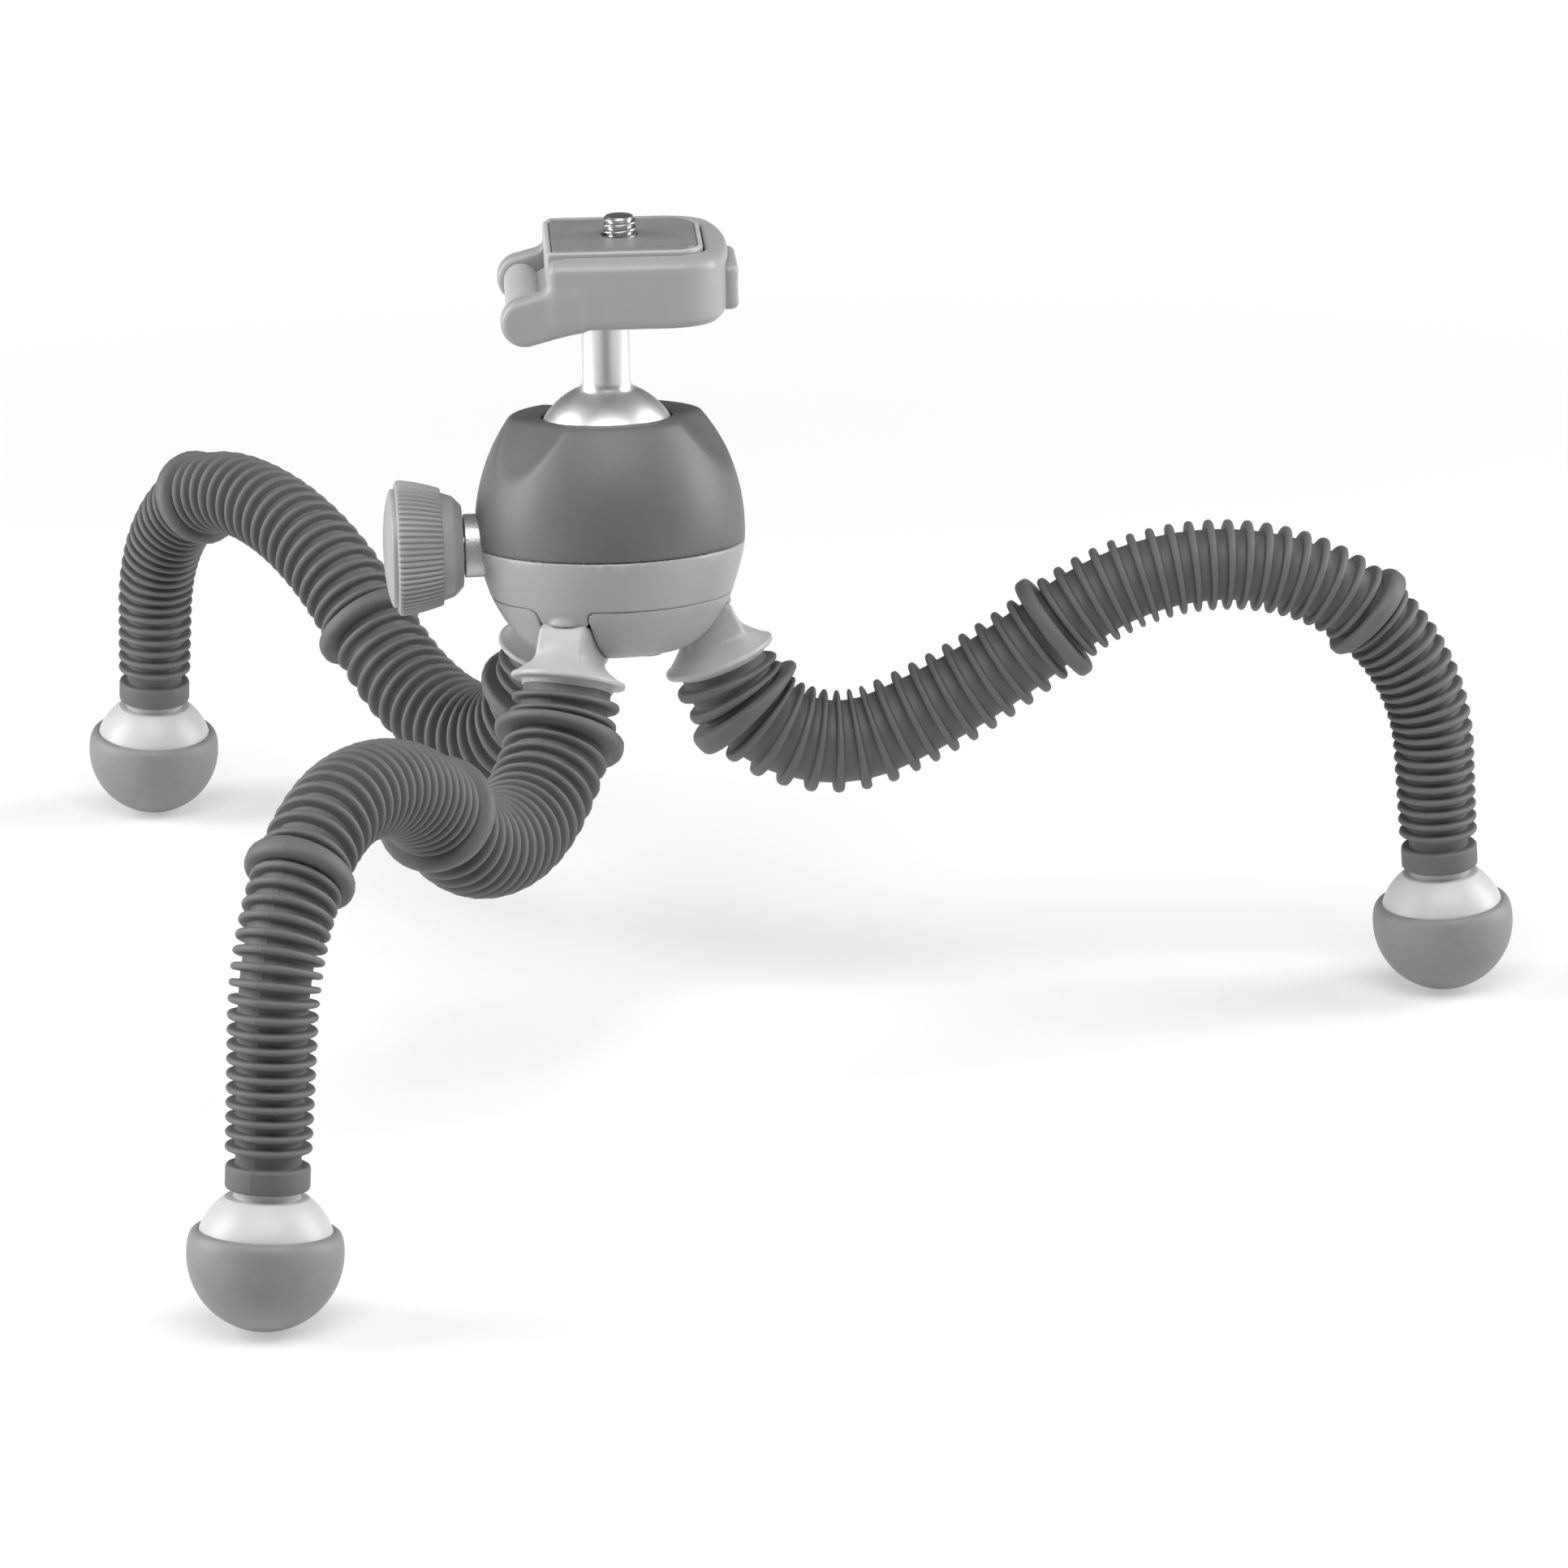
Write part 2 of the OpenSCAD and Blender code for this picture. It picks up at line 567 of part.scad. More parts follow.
// A socket's neck in its flange's directions, [outwards, into the hub], and the key that the
// bottom cover holds it by
neck_in = 4.6;
key_w = 12.8;
key_h = 2;
module leg_socket(k) {
    low = flange_t - 0.5;
    shoulder = [[-neck_in, low], [flange_r - 1.4, low], [flange_r - 1.4, flange_t],
        [flange_r - 3.6, neck_h * 0.55], [flange_r - 4.3, neck_h * 0.82], [flange_r - 5.2, neck_h]];
    color("gainsboro") {
        on_flange(k) difference() {
            union() {
                cylinder(h = flange_t, r = flange_r);
                translate([0, 0, -spigot_h]) cylinder(h = spigot_h, r = spigot_r);
                translate([0, neck_w / 2, 0]) rotate([90, 0, 0]) linear_extrude(neck_w)
                    polygon(concat(shoulder, [[2.6, neck_h + 0.2], [-neck_in, neck_h + 0.2]]));
            }
            translate([0, 0, -spigot_h - skin]) cylinder(h = spigot_h + wire_set + skin + seat_gap,
                r = wire_d / 2 + seat_gap);
        }
        on_hub() rotate([0, 0, leg_azimuth(k)]) translate([12.2, -key_w / 2, cover_floor + 0.7])
            cube([1.7, key_w, key_h]);
    }
}

// A foot's outlines, [radius, height from the foot's centre towards the leg]
plug_low = -5.3;
dome_seat_r = sqrt(foot_dome_r * foot_dome_r - foot_rim * foot_rim);
dome_seat = foot_rim - 0.8;
module foot_cup(k) {
    color("gray") along_leg(k, leg_length + foot_reach) rotate([180, 0, 0]) difference() {
        union() {
            intersection() {
                sphere(foot_r);
                translate([0, 0, -foot_r]) cylinder(h = foot_r, r = foot_r + skin);
            }
            rotate_extrude() polygon(concat([[0, 0]], bezier([foot_r, 0], [foot_r, foot_rim],
                [dome_seat_r + seat_gap, foot_rim]), [[0, foot_rim]]));
        }
        translate([0, 0, plug_low]) cylinder(h = foot_r, r = foot_plug_r + seat_gap);
        translate([0, 0, dome_seat]) cylinder(h = foot_r, r = dome_seat_r + seat_gap);
    }
}
module foot_core(k) {
    color("gainsboro") along_leg(k, leg_length + foot_reach) rotate([180, 0, 0]) difference() {
        union() {
            translate([0, 0, plug_low + seat_gap]) cylinder(h = dome_seat - plug_low, r = foot_plug_r);
            intersection() {
                sphere(foot_dome_r);
                translate([0, 0, dome_seat + seat_gap])
                    cylinder(h = foot_ledge - dome_seat - seat_gap, r = dome_seat_r);
            }
            translate([0, 0, foot_ledge - skin])
                cylinder(h = foot_reach - foot_ledge + skin, r = foot_neck_r);
        }
        translate([0, 0, foot_reach - wire_set - seat_gap])
            cylinder(h = wire_set + 2 * skin, r = wire_d / 2 + seat_gap);
    }
}

// Heights in the head from the ball's centre
frame_top = frame_up + frame_h;
pocket_floor = frame_up + floor_t;
plate_low = pocket_floor + 0.2;
plate_top = frame_top + plate_proud;
hinge_z = frame_up + hinge_up;
pocket_w = plate_w + 2 * plate_gap;
ear_in = frame_w / 2 - ear_t;
channel_w = 6.4;
channel_low = frame_up + 2.5;
arm_t = 1.8;
arm_gap = 0.25;
channel_from = 5.4;
notch_in = 3;
button_gap = 0.2;
button_low = frame_up + 1.2;
ear_root = 4.6;
base_screw_r = 2;
base_bite = 8;
base_head = 1.7;
base_head_r = 3.4;
spigot_up = 2;
stem_spigot_r = stem_d / 2 - 1;

// Side outline of an ear, [right, up]
module ear_outline() {
    hinge = [-hinge_left, hinge_z];
    translate(hinge) circle(ear_r);
    polygon([hinge + ear_r * [cos(115), sin(115)], [-frame_left, frame_up + ear_up],
        [-ear_root, frame_up + ear_up], [-ear_root, frame_up], hinge + ear_r * [cos(-75), sin(-75)]]);
}
module frame_outline() {
    intersection() {
        translate([frame_right - frame_end_r, 0]) circle(frame_end_r, $fn = 128);
        translate([-frame_left, -frame_w / 2]) square([frame_left + frame_right, frame_w]);
    }
}
module head_frame() {
    color("silver") on_head() difference() {
        union() {
            translate([0, 0, frame_up]) linear_extrude(frame_h) frame_outline();
            for (y = [-frame_w / 2, frame_w / 2 - ear_t])
                translate([0, y + ear_t, 0]) rotate([90, 0, 0]) linear_extrude(ear_t) ear_outline();
        }
        translate([-frame_left - skin, -pocket_w / 2, pocket_floor])
            cube([frame_left + skin + plate_right + plate_gap, pocket_w, frame_h]);
        translate([-frame_left - 2 * ear_r, -ear_in - seat_gap, frame_up - 2 * ear_r])
            cube([2 * ear_r + notch_in, 2 * ear_in + 2 * seat_gap, 2 * ear_r + 2 * frame_h]);
        translate([-hinge_left, -frame_w, hinge_z]) rotate([-90, 0, 0])
            cylinder(h = 2 * frame_w, r = pin_r + 0.01);
        translate([channel_from, -channel_w / 2, channel_low])
            cube([frame_right, channel_w, pocket_floor - channel_low + skin]);
        translate([plate_right - 2, -button_w / 2 - button_gap, button_low - button_gap])
            cube([frame_right, button_w + 2 * button_gap, button_h + 2 * button_gap]);
        translate([0, 0, frame_up - skin])
            cylinder(h = skin + spigot_up + seat_gap, r = stem_spigot_r + seat_gap);
        translate([0, 0, frame_up]) cylinder(h = frame_h, r = base_screw_r + 0.1);
        translate([0, 0, pocket_floor - base_head - 0.2]) cylinder(h = frame_h, r = base_head_r + 0.2);
    }
}
module base_screw() {
    color("dimgray") on_head() {
        translate([0, 0, frame_up - base_bite])
            cylinder(h = base_bite + floor_t - base_head, r = base_screw_r);
        translate([0, 0, pocket_floor - base_head - 0.15]) cylinder(h = base_head, r = base_head_r);
    }
}
module hinge_pin() {
    color("silver") on_head() translate([-hinge_left, -frame_w / 2 + 0.4, hinge_z])
        rotate([-90, 0, 0]) cylinder(h = frame_w - 0.8, r = pin_r);
}

// The latch: the button's post stands in the plate's opening beside the ledge it would catch under
ledge_x = plate_right - 4.2;
ledge_t = 1.2;
opening_l = 5;
opening_w = 8;
catch_h = 2.4;
post_l = 1.5;
post_x = ledge_x - 2.6;
button_back = plate_right + plate_gap + button_travel + 0.3;
screw_head_r = 6.2;
screw_head = 1.9;
screw_low = plate_low + 2;
pad_up = 0.2;
pad_top = plate_top + pad_up;
module mount_plate() {
    length = frame_left + plate_right;
    barrel_w = 2 * ear_in - 0.6;
    color("gainsboro") on_head() difference() {
        union() {
            translate([-frame_left, -plate_w / 2, plate_low]) cube([length, plate_w, plate_top - plate_low]);
            translate([-hinge_left, -barrel_w / 2, hinge_z]) rotate([-90, 0, 0])
                cylinder(h = barrel_w, r = barrel_r);
            translate([-hinge_left, -barrel_w / 2, hinge_z])
                cube([hinge_left - frame_left + notch_in - 0.6, barrel_w, plate_low - hinge_z + 2]);
        }
        translate([-hinge_left, -frame_w, hinge_z]) rotate([-90, 0, 0])
            cylinder(h = 2 * frame_w, r = pin_r + run_gap);
        translate([-frame_left + pad_lip, -plate_w / 2 + pad_lip, pad_top - pad_t])
            cube([length - 2 * pad_lip, plate_w - 2 * pad_lip, pad_t]);
        translate([screw_x, 0, plate_low - skin]) cylinder(h = frame_h, r = screw_d / 2 + run_gap);
        translate([screw_x, 0, plate_low - skin])
            cylinder(h = skin + screw_low - plate_low + screw_head + 0.1, r = screw_head_r + 0.4);
        translate([ledge_x - opening_l, -opening_w / 2, plate_low - skin])
            cube([opening_l, opening_w, skin + ledge_t + catch_h]);
        translate([ledge_x - opening_l, -opening_w / 2, plate_low + ledge_t])
            cube([2 * opening_l - catch_h, opening_w, catch_h]);
    }
}
module camera_pad() {
    inset = pad_lip + seat_gap;
    color("gray") on_head() difference() {
        translate([-frame_left + inset, -plate_w / 2 + inset, pad_top - pad_t])
            cube([frame_left + plate_right - 2 * inset, plate_w - 2 * inset, pad_t]);
        translate([screw_x, 0, plate_low]) cylinder(h = frame_h, r = screw_d / 2 + 0.4);
    }
}
module camera_screw() {
    slot_w = 1.6;
    color("silver") on_head() translate([screw_x, 0, screw_low]) difference() {
        union() {
            translate([0, 0, pad_top - screw_low]) cylinder(h = screw_up, r = screw_d / 2);
            cylinder(h = pad_top - screw_low + skin, r = screw_d / 2 - 0.25);
            cylinder(h = screw_head, r = screw_head_r);
        }
        translate([-2 * screw_head_r, -slot_w / 2, -skin]) cube([4 * screw_head_r, slot_w, 2 * skin]);
    }
}
module screw_retainer() {
    color("dimgray") on_head() translate([screw_x, 0, plate_low + 0.3]) difference() {
        cylinder(h = screw_low - plate_low - 0.4, r = screw_head_r + 0.35);
        translate([0, 0, -skin]) cylinder(h = screw_low, r = screw_head_r - 1.6);
    }
}
module release_button() {
    arm_low = channel_low + arm_gap;
    arm_w = channel_w - 0.4;
    color("silver") on_head() {
        translate([button_back, -button_w / 2, button_low])
            cube([frame_right + button_out - button_back, button_w, button_h]);
        translate([post_x, -arm_w / 2, arm_low]) cube([button_back - post_x + skin, arm_w, arm_t]);
        translate([post_x, -arm_w / 2, arm_low]) cube([post_l, arm_w, plate_low + ledge_t + 1.7 - arm_low]);
    }
}
// The button's return spring, a wound wire along the channel
spring_r = 0.75;
spring_wire = 0.16;
spring_turns = 6;
module button_spring() {
    rings = 8 * spring_turns;
    from = channel_from + 0.2;
    to = post_x - seat_gap;
    run = (to - from - 2 * spring_wire) / rings;
    color("silver") on_head() translate([from + spring_wire, 0, channel_low + arm_gap + spring_r + 0.2])
        capped_tube([for (i = [0:rings]) let (t = 45 * i)
            [for (a = [0:5]) let (u = [cos(60 * a), sin(60 * a)] * spring_wire)
                [run * i + u[1], (spring_r + u[0]) * cos(t), (spring_r + u[0]) * sin(t)]]]);
}

HEAD = ["head_frame", "base_screw", "hinge_pin", "mount_plate", "camera_pad", "camera_screw",
    "screw_retainer", "release_button", "button_spring", "ball_stem"];
HUB = ["upper_shell", "ball_cup", "lower_shell", "bottom_cover", "cover_screws", "shell_screws",
    "screw_boss", "lock_screw", "lock_wedge", "lock_knob", "knob_cap"];

from_centre() head_frame();
from_centre() base_screw();
from_centre() hinge_pin();
from_centre() mount_plate();
from_centre() camera_pad();
from_centre() camera_screw();
from_centre() screw_retainer();
from_centre() release_button();
from_centre() button_spring();
from_centre() ball_stem();
from_centre() upper_shell();
from_centre() ball_cup();
from_centre() lower_shell();
from_centre() bottom_cover();
from_centre() cover_screws();
from_centre() shell_screws();
from_centre() screw_boss();
from_centre() lock_screw();
from_centre() lock_wedge();
from_centre() lock_knob();
from_centre() knob_cap();
for (k = [0:2]) {
    from_centre() leg_socket(k);
    from_centre() leg_wire(k);
    from_centre() foot_core(k);
    from_centre() foot_cup(k);
    for (i = [0:SECTIONS - 1])
        from_centre() leg_sleeve(k, i);
}
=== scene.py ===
"""A flexible leg tripod: ball head, hub and three ribbed legs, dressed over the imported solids."""

import itertools
import json
import math

import bmesh
import bpy
import numpy as np
from mathutils import Matrix, Vector


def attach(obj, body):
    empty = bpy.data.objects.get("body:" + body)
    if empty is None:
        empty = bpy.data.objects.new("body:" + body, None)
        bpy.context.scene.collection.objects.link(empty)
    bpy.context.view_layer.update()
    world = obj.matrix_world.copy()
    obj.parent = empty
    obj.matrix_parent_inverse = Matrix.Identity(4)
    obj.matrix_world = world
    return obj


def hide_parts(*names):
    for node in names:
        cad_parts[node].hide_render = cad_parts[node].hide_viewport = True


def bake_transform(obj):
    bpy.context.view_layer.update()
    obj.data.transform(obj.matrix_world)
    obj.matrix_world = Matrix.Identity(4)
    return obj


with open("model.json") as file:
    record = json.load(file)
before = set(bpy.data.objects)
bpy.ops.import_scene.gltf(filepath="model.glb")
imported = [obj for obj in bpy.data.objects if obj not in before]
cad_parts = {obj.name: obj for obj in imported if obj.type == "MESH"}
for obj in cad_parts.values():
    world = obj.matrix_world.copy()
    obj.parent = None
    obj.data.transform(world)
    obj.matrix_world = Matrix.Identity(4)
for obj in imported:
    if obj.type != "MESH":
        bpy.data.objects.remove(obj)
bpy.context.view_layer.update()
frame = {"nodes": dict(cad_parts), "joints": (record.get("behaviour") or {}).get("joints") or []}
nodes = frame["nodes"]
joints = {joint["name"]: joint for joint in frame["joints"]}
scene = bpy.context.scene
scene.view_settings.view_transform = "Standard"


# Directions and places. Pieces are drawn in millimetres from the ball's centre.

MM = 0.001
HUB_LEAN = -6
HEAD_TURN = -3
KNOB_SWING = -1
BALL = Vector(joints["tilt"]["pos_m"])


def turned(degrees, axis):
    return Matrix.Rotation(math.radians(degrees), 4, axis)


def moved(x, y, z):
    return Matrix.Translation((x, y, z))


IN_MM = Matrix.Scale(MM, 4)
HUB = Matrix.Translation(BALL) @ IN_MM @ turned(HUB_LEAN, "X")
HEAD = Matrix.Translation(BALL) @ IN_MM @ turned(HEAD_TURN, "Z")


# Shader sums

class Paint:
    """A socket in a material's nodes. A sum on it adds a Math node."""

    def __init__(self, tree, socket=None):
        self.tree = tree
        self.socket = socket

    def add(self, kind, settings=None, sockets=None, out=0):
        """A new node's output, from the node's type, its settings, and its sockets' values or links."""
        node = self.tree.nodes.new(kind)
        for name, value in (settings or {}).items():
            setattr(node, name, value)
        for name, value in (sockets or {}).items():
            if isinstance(value, Paint):
                self.tree.links.new(value.socket, node.inputs[name])
            else:
                node.inputs[name].default_value = value
        return Paint(self.tree, node.outputs[out])

    def math(self, operation, *terms):
        return self.add("ShaderNodeMath", {"operation": operation}, dict(enumerate(terms)))

    def __add__(self, other):
        return self.math("ADD", self, other)

    def __sub__(self, other):
        return self.math("SUBTRACT", self, other)

    def __rsub__(self, other):
        return self.math("SUBTRACT", other, self)

    def __mul__(self, other):
        return self.math("MULTIPLY", self, other)

    __radd__ = __add__
    __rmul__ = __mul__

    def between(self, low, high):
        """0 below low, 1 above high, and smooth in between."""
        sockets = {"Value": self, "From Min": low, "From Max": high}
        return self.add("ShaderNodeMapRange", {"interpolation_type": "SMOOTHSTEP"}, sockets)

    def mix(self, factor, first, second):
        """A colour between two greys."""
        return self.add("ShaderNodeMix", {"data_type": "RGBA"},
                        {0: factor, 6: grey(first), 7: grey(second)}, out=2)

    def spots(self, size, detail=2, stretch=(1, 1, 1)):
        """Cloudy noise whose marks are about that many millimetres wide."""
        place = self.add("ShaderNodeTexCoord", out="Object")
        scale = {"Vector": place, "Scale": stretch}
        place = self.add("ShaderNodeMapping", {"vector_type": "POINT"}, scale)
        sockets = {"Vector": place, "Scale": 1 / (size * MM), "Detail": detail}
        return self.add("ShaderNodeTexNoise", None, sockets)

    def relief(self, height, depth):
        """A normal from a height that is that many millimetres deep."""
        return self.add("ShaderNodeBump", None, {"Height": height, "Distance": depth * MM})


def grey(value):
    return value if isinstance(value, Paint) else (value, value, value, 1)


def finish(name, surface, **constants):
    """A material: constants go on its shader, and surface(paint) gives the sockets that vary."""
    material = bpy.data.materials.new(name)
    material.use_nodes = True
    tree = material.node_tree
    shader = tree.nodes["Principled BSDF"]
    for socket, value in constants.items():
        shader.inputs[socket.replace("_", " ")].default_value = value
    for socket, value in surface(Paint(tree)).items():
        tree.links.new(value.socket, shader.inputs[socket])
    return material


def moulded(shade, spread, roughness, grain, depth):
    """The surface of a moulding: a faint cloudiness, and a fine grain from its mould."""
    def surface(paint):
        cloud = paint.spots(9, 3)
        texture = paint.spots(grain, 3)
        return {
            "Base Color": paint.mix(cloud, shade * (1 - spread), shade * (1 + spread)),
            "Roughness": roughness + 0.12 * (cloud - 0.5) + 0.1 * (texture - 0.5),
            "Normal": paint.relief(texture, depth),
        }
    return surface


def rubbery(shade, roughness, speck_shade, speck_level, depth):
    """The surface of soft rubber: matt, with fine grain, worn patches and small pale specks."""
    def surface(paint):
        cloud = paint.spots(5, 4)
        grain = paint.spots(0.22, 4)
        specks = paint.spots(0.42, 1).between(speck_level, speck_level + 0.04)
        body = paint.mix(cloud, shade * 0.86, shade * 1.14)
        return {
            "Base Color": paint.mix(specks * 0.7, body, speck_shade),
            "Roughness": roughness + 0.16 * (cloud - 0.5),
            "Normal": paint.relief(grain + specks, depth),
        }
    return surface


def machined(shade, roughness, depth):
    """Turned metal: fine rings round its axis and a satin bloom."""
    def surface(paint):
        rings = paint.spots(0.35, 2, (0.02, 0.02, 1))
        bloom = paint.spots(0.3, 3)
        return {
            "Base Color": paint.mix(bloom, shade * 0.95, shade),
            "Roughness": roughness + 0.1 * (rings - 0.5) + 0.08 * (bloom - 0.5),
            "Normal": paint.relief(rings + 0.5 * bloom, depth),
        }
    return surface


def flaked(paint):
    """Silver paint with small flakes that sparkle."""
    flakes = paint.spots(0.35, 2)
    return {
        "Base Color": paint.mix(flakes, 0.5, 0.66),
        "Roughness": 0.4 - 0.16 * flakes.between(0.55, 0.7),
        "Normal": paint.relief(flakes, 0.07),
    }


SURFACES = {
    "leg_rubber": rubbery(shade=0.115, roughness=0.58, speck_shade=0.26, speck_level=0.75, depth=0.05),
    "foot_rubber": rubbery(shade=0.22, roughness=0.5, speck_shade=0.36, speck_level=0.76, depth=0.03),
    "pad_rubber": rubbery(shade=0.2, roughness=0.45, speck_shade=0.28, speck_level=0.78, depth=0.02),
    "dark_plastic": moulded(shade=0.115, spread=0.04, roughness=0.46, grain=0.3, depth=0.035),
    "light_plastic": moulded(shade=0.335, spread=0.03, roughness=0.4, grain=0.35, depth=0.015),
    "pale_plastic": moulded(shade=0.43, spread=0.03, roughness=0.4, grain=0.5, depth=0.02),
    # A lighter copy of the pale plastic for the foot domes: painted light standing in for the light on their
    # upward faces.
    "pale_plastic_painted_lit": moulded(shade=0.53, spread=0.03, roughness=0.4, grain=0.5, depth=0.012),
    "turned_aluminium": machined(shade=0.8, roughness=0.42, depth=0.008),
    "steel": machined(shade=0.66, roughness=0.28, depth=0.004),
    "dark_steel": machined(shade=0.3, roughness=0.34, depth=0.006),
    "silver_paint": flaked,
}
METALLIC = {"turned_aluminium": 1, "steel": 1, "dark_steel": 1, "silver_paint": 0.75}
FINISHES = {name: finish(name, surface, Metallic=METALLIC.get(name, 0)) for name, surface in SURFACES.items()}


# Making meshes

WELD = 1e-6
CORNER_SHARE = 0.48


def make(name, mesh, slot, place=IN_MM, body=None, stands_for=(), crease=None, thin=None, look=None):
    """A piece from its points and faces, with its finish, its body and the nodes that it stands for."""
    points, faces = mesh
    matrix = np.array(place)
    points = np.asarray(points) @ matrix[:3, :3].T + matrix[:3, 3]
    data = bpy.data.meshes.new(name)
    data.from_pydata(points.tolist(), [], [list(map(int, face)) for face in faces])
    shape = bmesh.new()
    shape.from_mesh(data)
    bmesh.ops.remove_doubles(shape, verts=shape.verts, dist=WELD)
    bmesh.ops.recalc_face_normals(shape, faces=shape.faces)
    shape.to_mesh(data)
    shape.free()
    data.shade_smooth()
    if crease:
        data.set_sharp_from_angle(angle=math.radians(crease))
    data.materials.append(FINISHES[look or slot])
    piece = bpy.data.objects.new(name, data)
    scene.collection.objects.link(piece)
    if thin:
        piece.modifiers.new("thinned", "DECIMATE").ratio = thin
    if body:
        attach(piece, body)
    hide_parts(*stands_for)
    return piece


def tube(rings):
    """Points and faces of a skin over rings of points, each closed on itself."""
    count, around = rings.shape[:2]
    start = np.arange(count - 1)[:, None] * around
    here = np.arange(around)[None, :]
    after = (here + 1) % around
    quads = np.stack([start + here, start + after, start + around + after, start + around + here], -1)
    return rings.reshape(-1, 3), quads.reshape(-1, 4)


def lathe(outline, columns=96, groove=None):
    """Points and faces of an outline, [radius, height], turned about Z. A groove takes depth off
    the radius, by each column's share and each outline point's depth."""
    outline = np.array(outline, float)
    angles = np.arange(columns) * 2 * math.pi / columns
    radius = np.repeat(outline[:, :1], columns, 1)
    if groove:
        share, depth = groove
        radius = radius - np.outer(depth, share)
    height = np.repeat(outline[:, 1:2], columns, 1)
    return tube(np.stack([radius * np.cos(angles), radius * np.sin(angles), height], -1))


def soften(points, radius, steps=4):
    """An outline with its corners rounded. A point's third number is its own radius."""
    points = [(np.array(point[:2], float), point[2] if len(point) > 2 else radius) for point in points]
    path = [points[0][0]]
    for (before, _), (knee, size), (after, _) in zip(points, points[1:], points[2:]):
        back, ahead = before - knee, after - knee
        spans = np.linalg.norm(back), np.linalg.norm(ahead)
        bend = math.acos(np.clip(back @ ahead / (spans[0] * spans[1]), -1, 1))
        reach = min(size / max(math.tan(bend / 2), 1e-3), CORNER_SHARE * min(spans))
        first, last = knee + back / spans[0] * reach, knee + ahead / spans[1] * reach
        for share in np.linspace(0, 1, steps + 1):
            path.append((1 - share) ** 2 * first + 2 * share * (1 - share) * knee + share ** 2 * last)
    return path + [points[-1][0]]


def bow(first, pull, last, steps):
    """Points on a curve from first to last, drawn towards pull."""
    first, pull, last = map(np.array, (first, pull, last))
    shares = np.linspace(0, 1, steps + 1)
    return [(1 - t) ** 2 * first + 2 * t * (1 - t) * pull + t * t * last for t in shares]


# Solids as distance fields: below zero is inside

def joined(first, second, ease):
    share = np.clip(0.5 + 0.5 * (second - first) / ease, 0, 1)
    return second + (first - second) * share - ease * share * (1 - share)


def common(first, second, ease=0.01):
    return -joined(-first, -second, ease)


def cut(first, second, ease=0.01):
    return common(first, -second, ease)


def corner(*sides, soft=0.0):
    """Where all the sides are inside, with rounded edges between them."""
    sides = [side + soft for side in sides]
    outside = np.sqrt(sum(np.maximum(side, 0) ** 2 for side in sides))
    return outside + np.minimum(np.maximum.reduce(sides), 0) - soft


def span(value, low, high):
    return np.abs(value - (low + high) / 2) - (high - low) / 2


def polygon(x, y, points):
    """Distance to a closed outline in the plane."""
    points = np.array(points, float)
    nearest = np.full(x.shape, np.inf)
    sign = np.ones(x.shape)
    for (ax, ay), (bx, by) in zip(points, np.roll(points, -1, 0)):
        ex, ey = bx - ax, by - ay
        share = np.clip(((x - ax) * ex + (y - ay) * ey) / (ex * ex + ey * ey), 0, 1)
        nearest = np.minimum(nearest, (x - ax - share * ex) ** 2 + (y - ay - share * ey) ** 2)
        crosses = ((y >= ay) != (y >= by)) & (((x - ax) * ey < ex * (y - ay)) == (ey > 0))
        sign = np.where(crosses, -sign, sign)
    return sign * np.sqrt(nearest)


def skin(field, low, high, step):
    """Points and faces on a field's zero surface: one point in each grid cell that it crosses."""
    axes = [np.arange(a - step, b + 2 * step, step) for a, b in zip(low, high)]
    values = field(*np.meshgrid(*axes, indexing="ij"))
    cells = tuple(count - 1 for count in values.shape)
    total, crossed = np.zeros((*cells, 3)), np.zeros(cells)
    units = np.eye(3, dtype=int)
    for axis, offset in itertools.product(range(3), itertools.product((0, 1), repeat=3)):
        if offset[axis]:
            continue
        ends = [values[tuple(slice(o, o + c) for o, c in zip(offset + step_on, cells))]
                for step_on in (0 * units[axis], units[axis])]
        hit = (ends[0] < 0) != (ends[1] < 0)
        share = np.where(hit, ends[0] / np.where(hit, ends[0] - ends[1], 1), 0)
        total += np.where(hit[..., None], np.array(offset) + share[..., None] * units[axis], 0)
        crossed += hit
    used = crossed > 0
    index = np.full(cells, -1)
    index[used] = np.arange(used.sum())
    points = (np.argwhere(used) + total[used] / crossed[used][:, None]) * step + [axis[0] for axis in axes]
    faces = []
    for axis in range(3):
        across, along = units[(axis + 1) % 3], units[(axis + 2) % 3]
        first = np.take(values, range(cells[axis]), axis) < 0
        second = np.take(values, range(1, cells[axis] + 1), axis) < 0
        edges = np.argwhere(first != second)
        quad = [index[tuple((edges - back).T)] for back in (across + along, along, 0 * along, across)]
        faces.append(np.stack(quad, -1))
    for _ in range(2):
        points = settled(field, points, step / 2)
    return points, np.concatenate(faces)


def settled(field, points, most):
    """Points drawn onto a field's zero surface, by no more than a given distance."""
    probe, least_slope = 0.02, 0.2
    here = field(*points.T)
    slope = np.stack([(field(*(points + probe * unit).T) - here) / probe for unit in np.eye(3)], -1)
    move = here[:, None] * slope / np.maximum((slope ** 2).sum(1), least_slope)[:, None]
    length = np.linalg.norm(move, axis=1)[:, None]
    return points - move * np.minimum(1, most / np.maximum(length, 1e-9))


# Hub

HUB_R = 25.5
SEAM = -16.3
COVER_TOP = -26
COVER_R = 22.9
UNDERSIDE = -36.6
UNDERSIDE_R = 12.5
HUB_WALL = 2.4
HUB_ROOM = 26
SHELL_STEP = 0.4
SHELL_THIN = 0.35
EDGE = 0.16
DOME_ARC = 37
WIDEST = SEAM + 2.3
RIM = 10.4
RIM_EASE = 2
BALL_R = 14
BALL_GAP = 0.35
CUP_WALL = 1.6
LEVEL_R = 11.7
LEVEL_Z = 7.5
LEVEL_RISE = 0.07
TROUGH_R = 24
TROUGH_DEEP = 15.4
TROUGH_FACING = (0.718, 0.697)
TROUGH_TURNS = (97, 212, 342)
TROUGH_EASE = 0.9
BOSS_R = 6
BOSS_GAP = 0.15
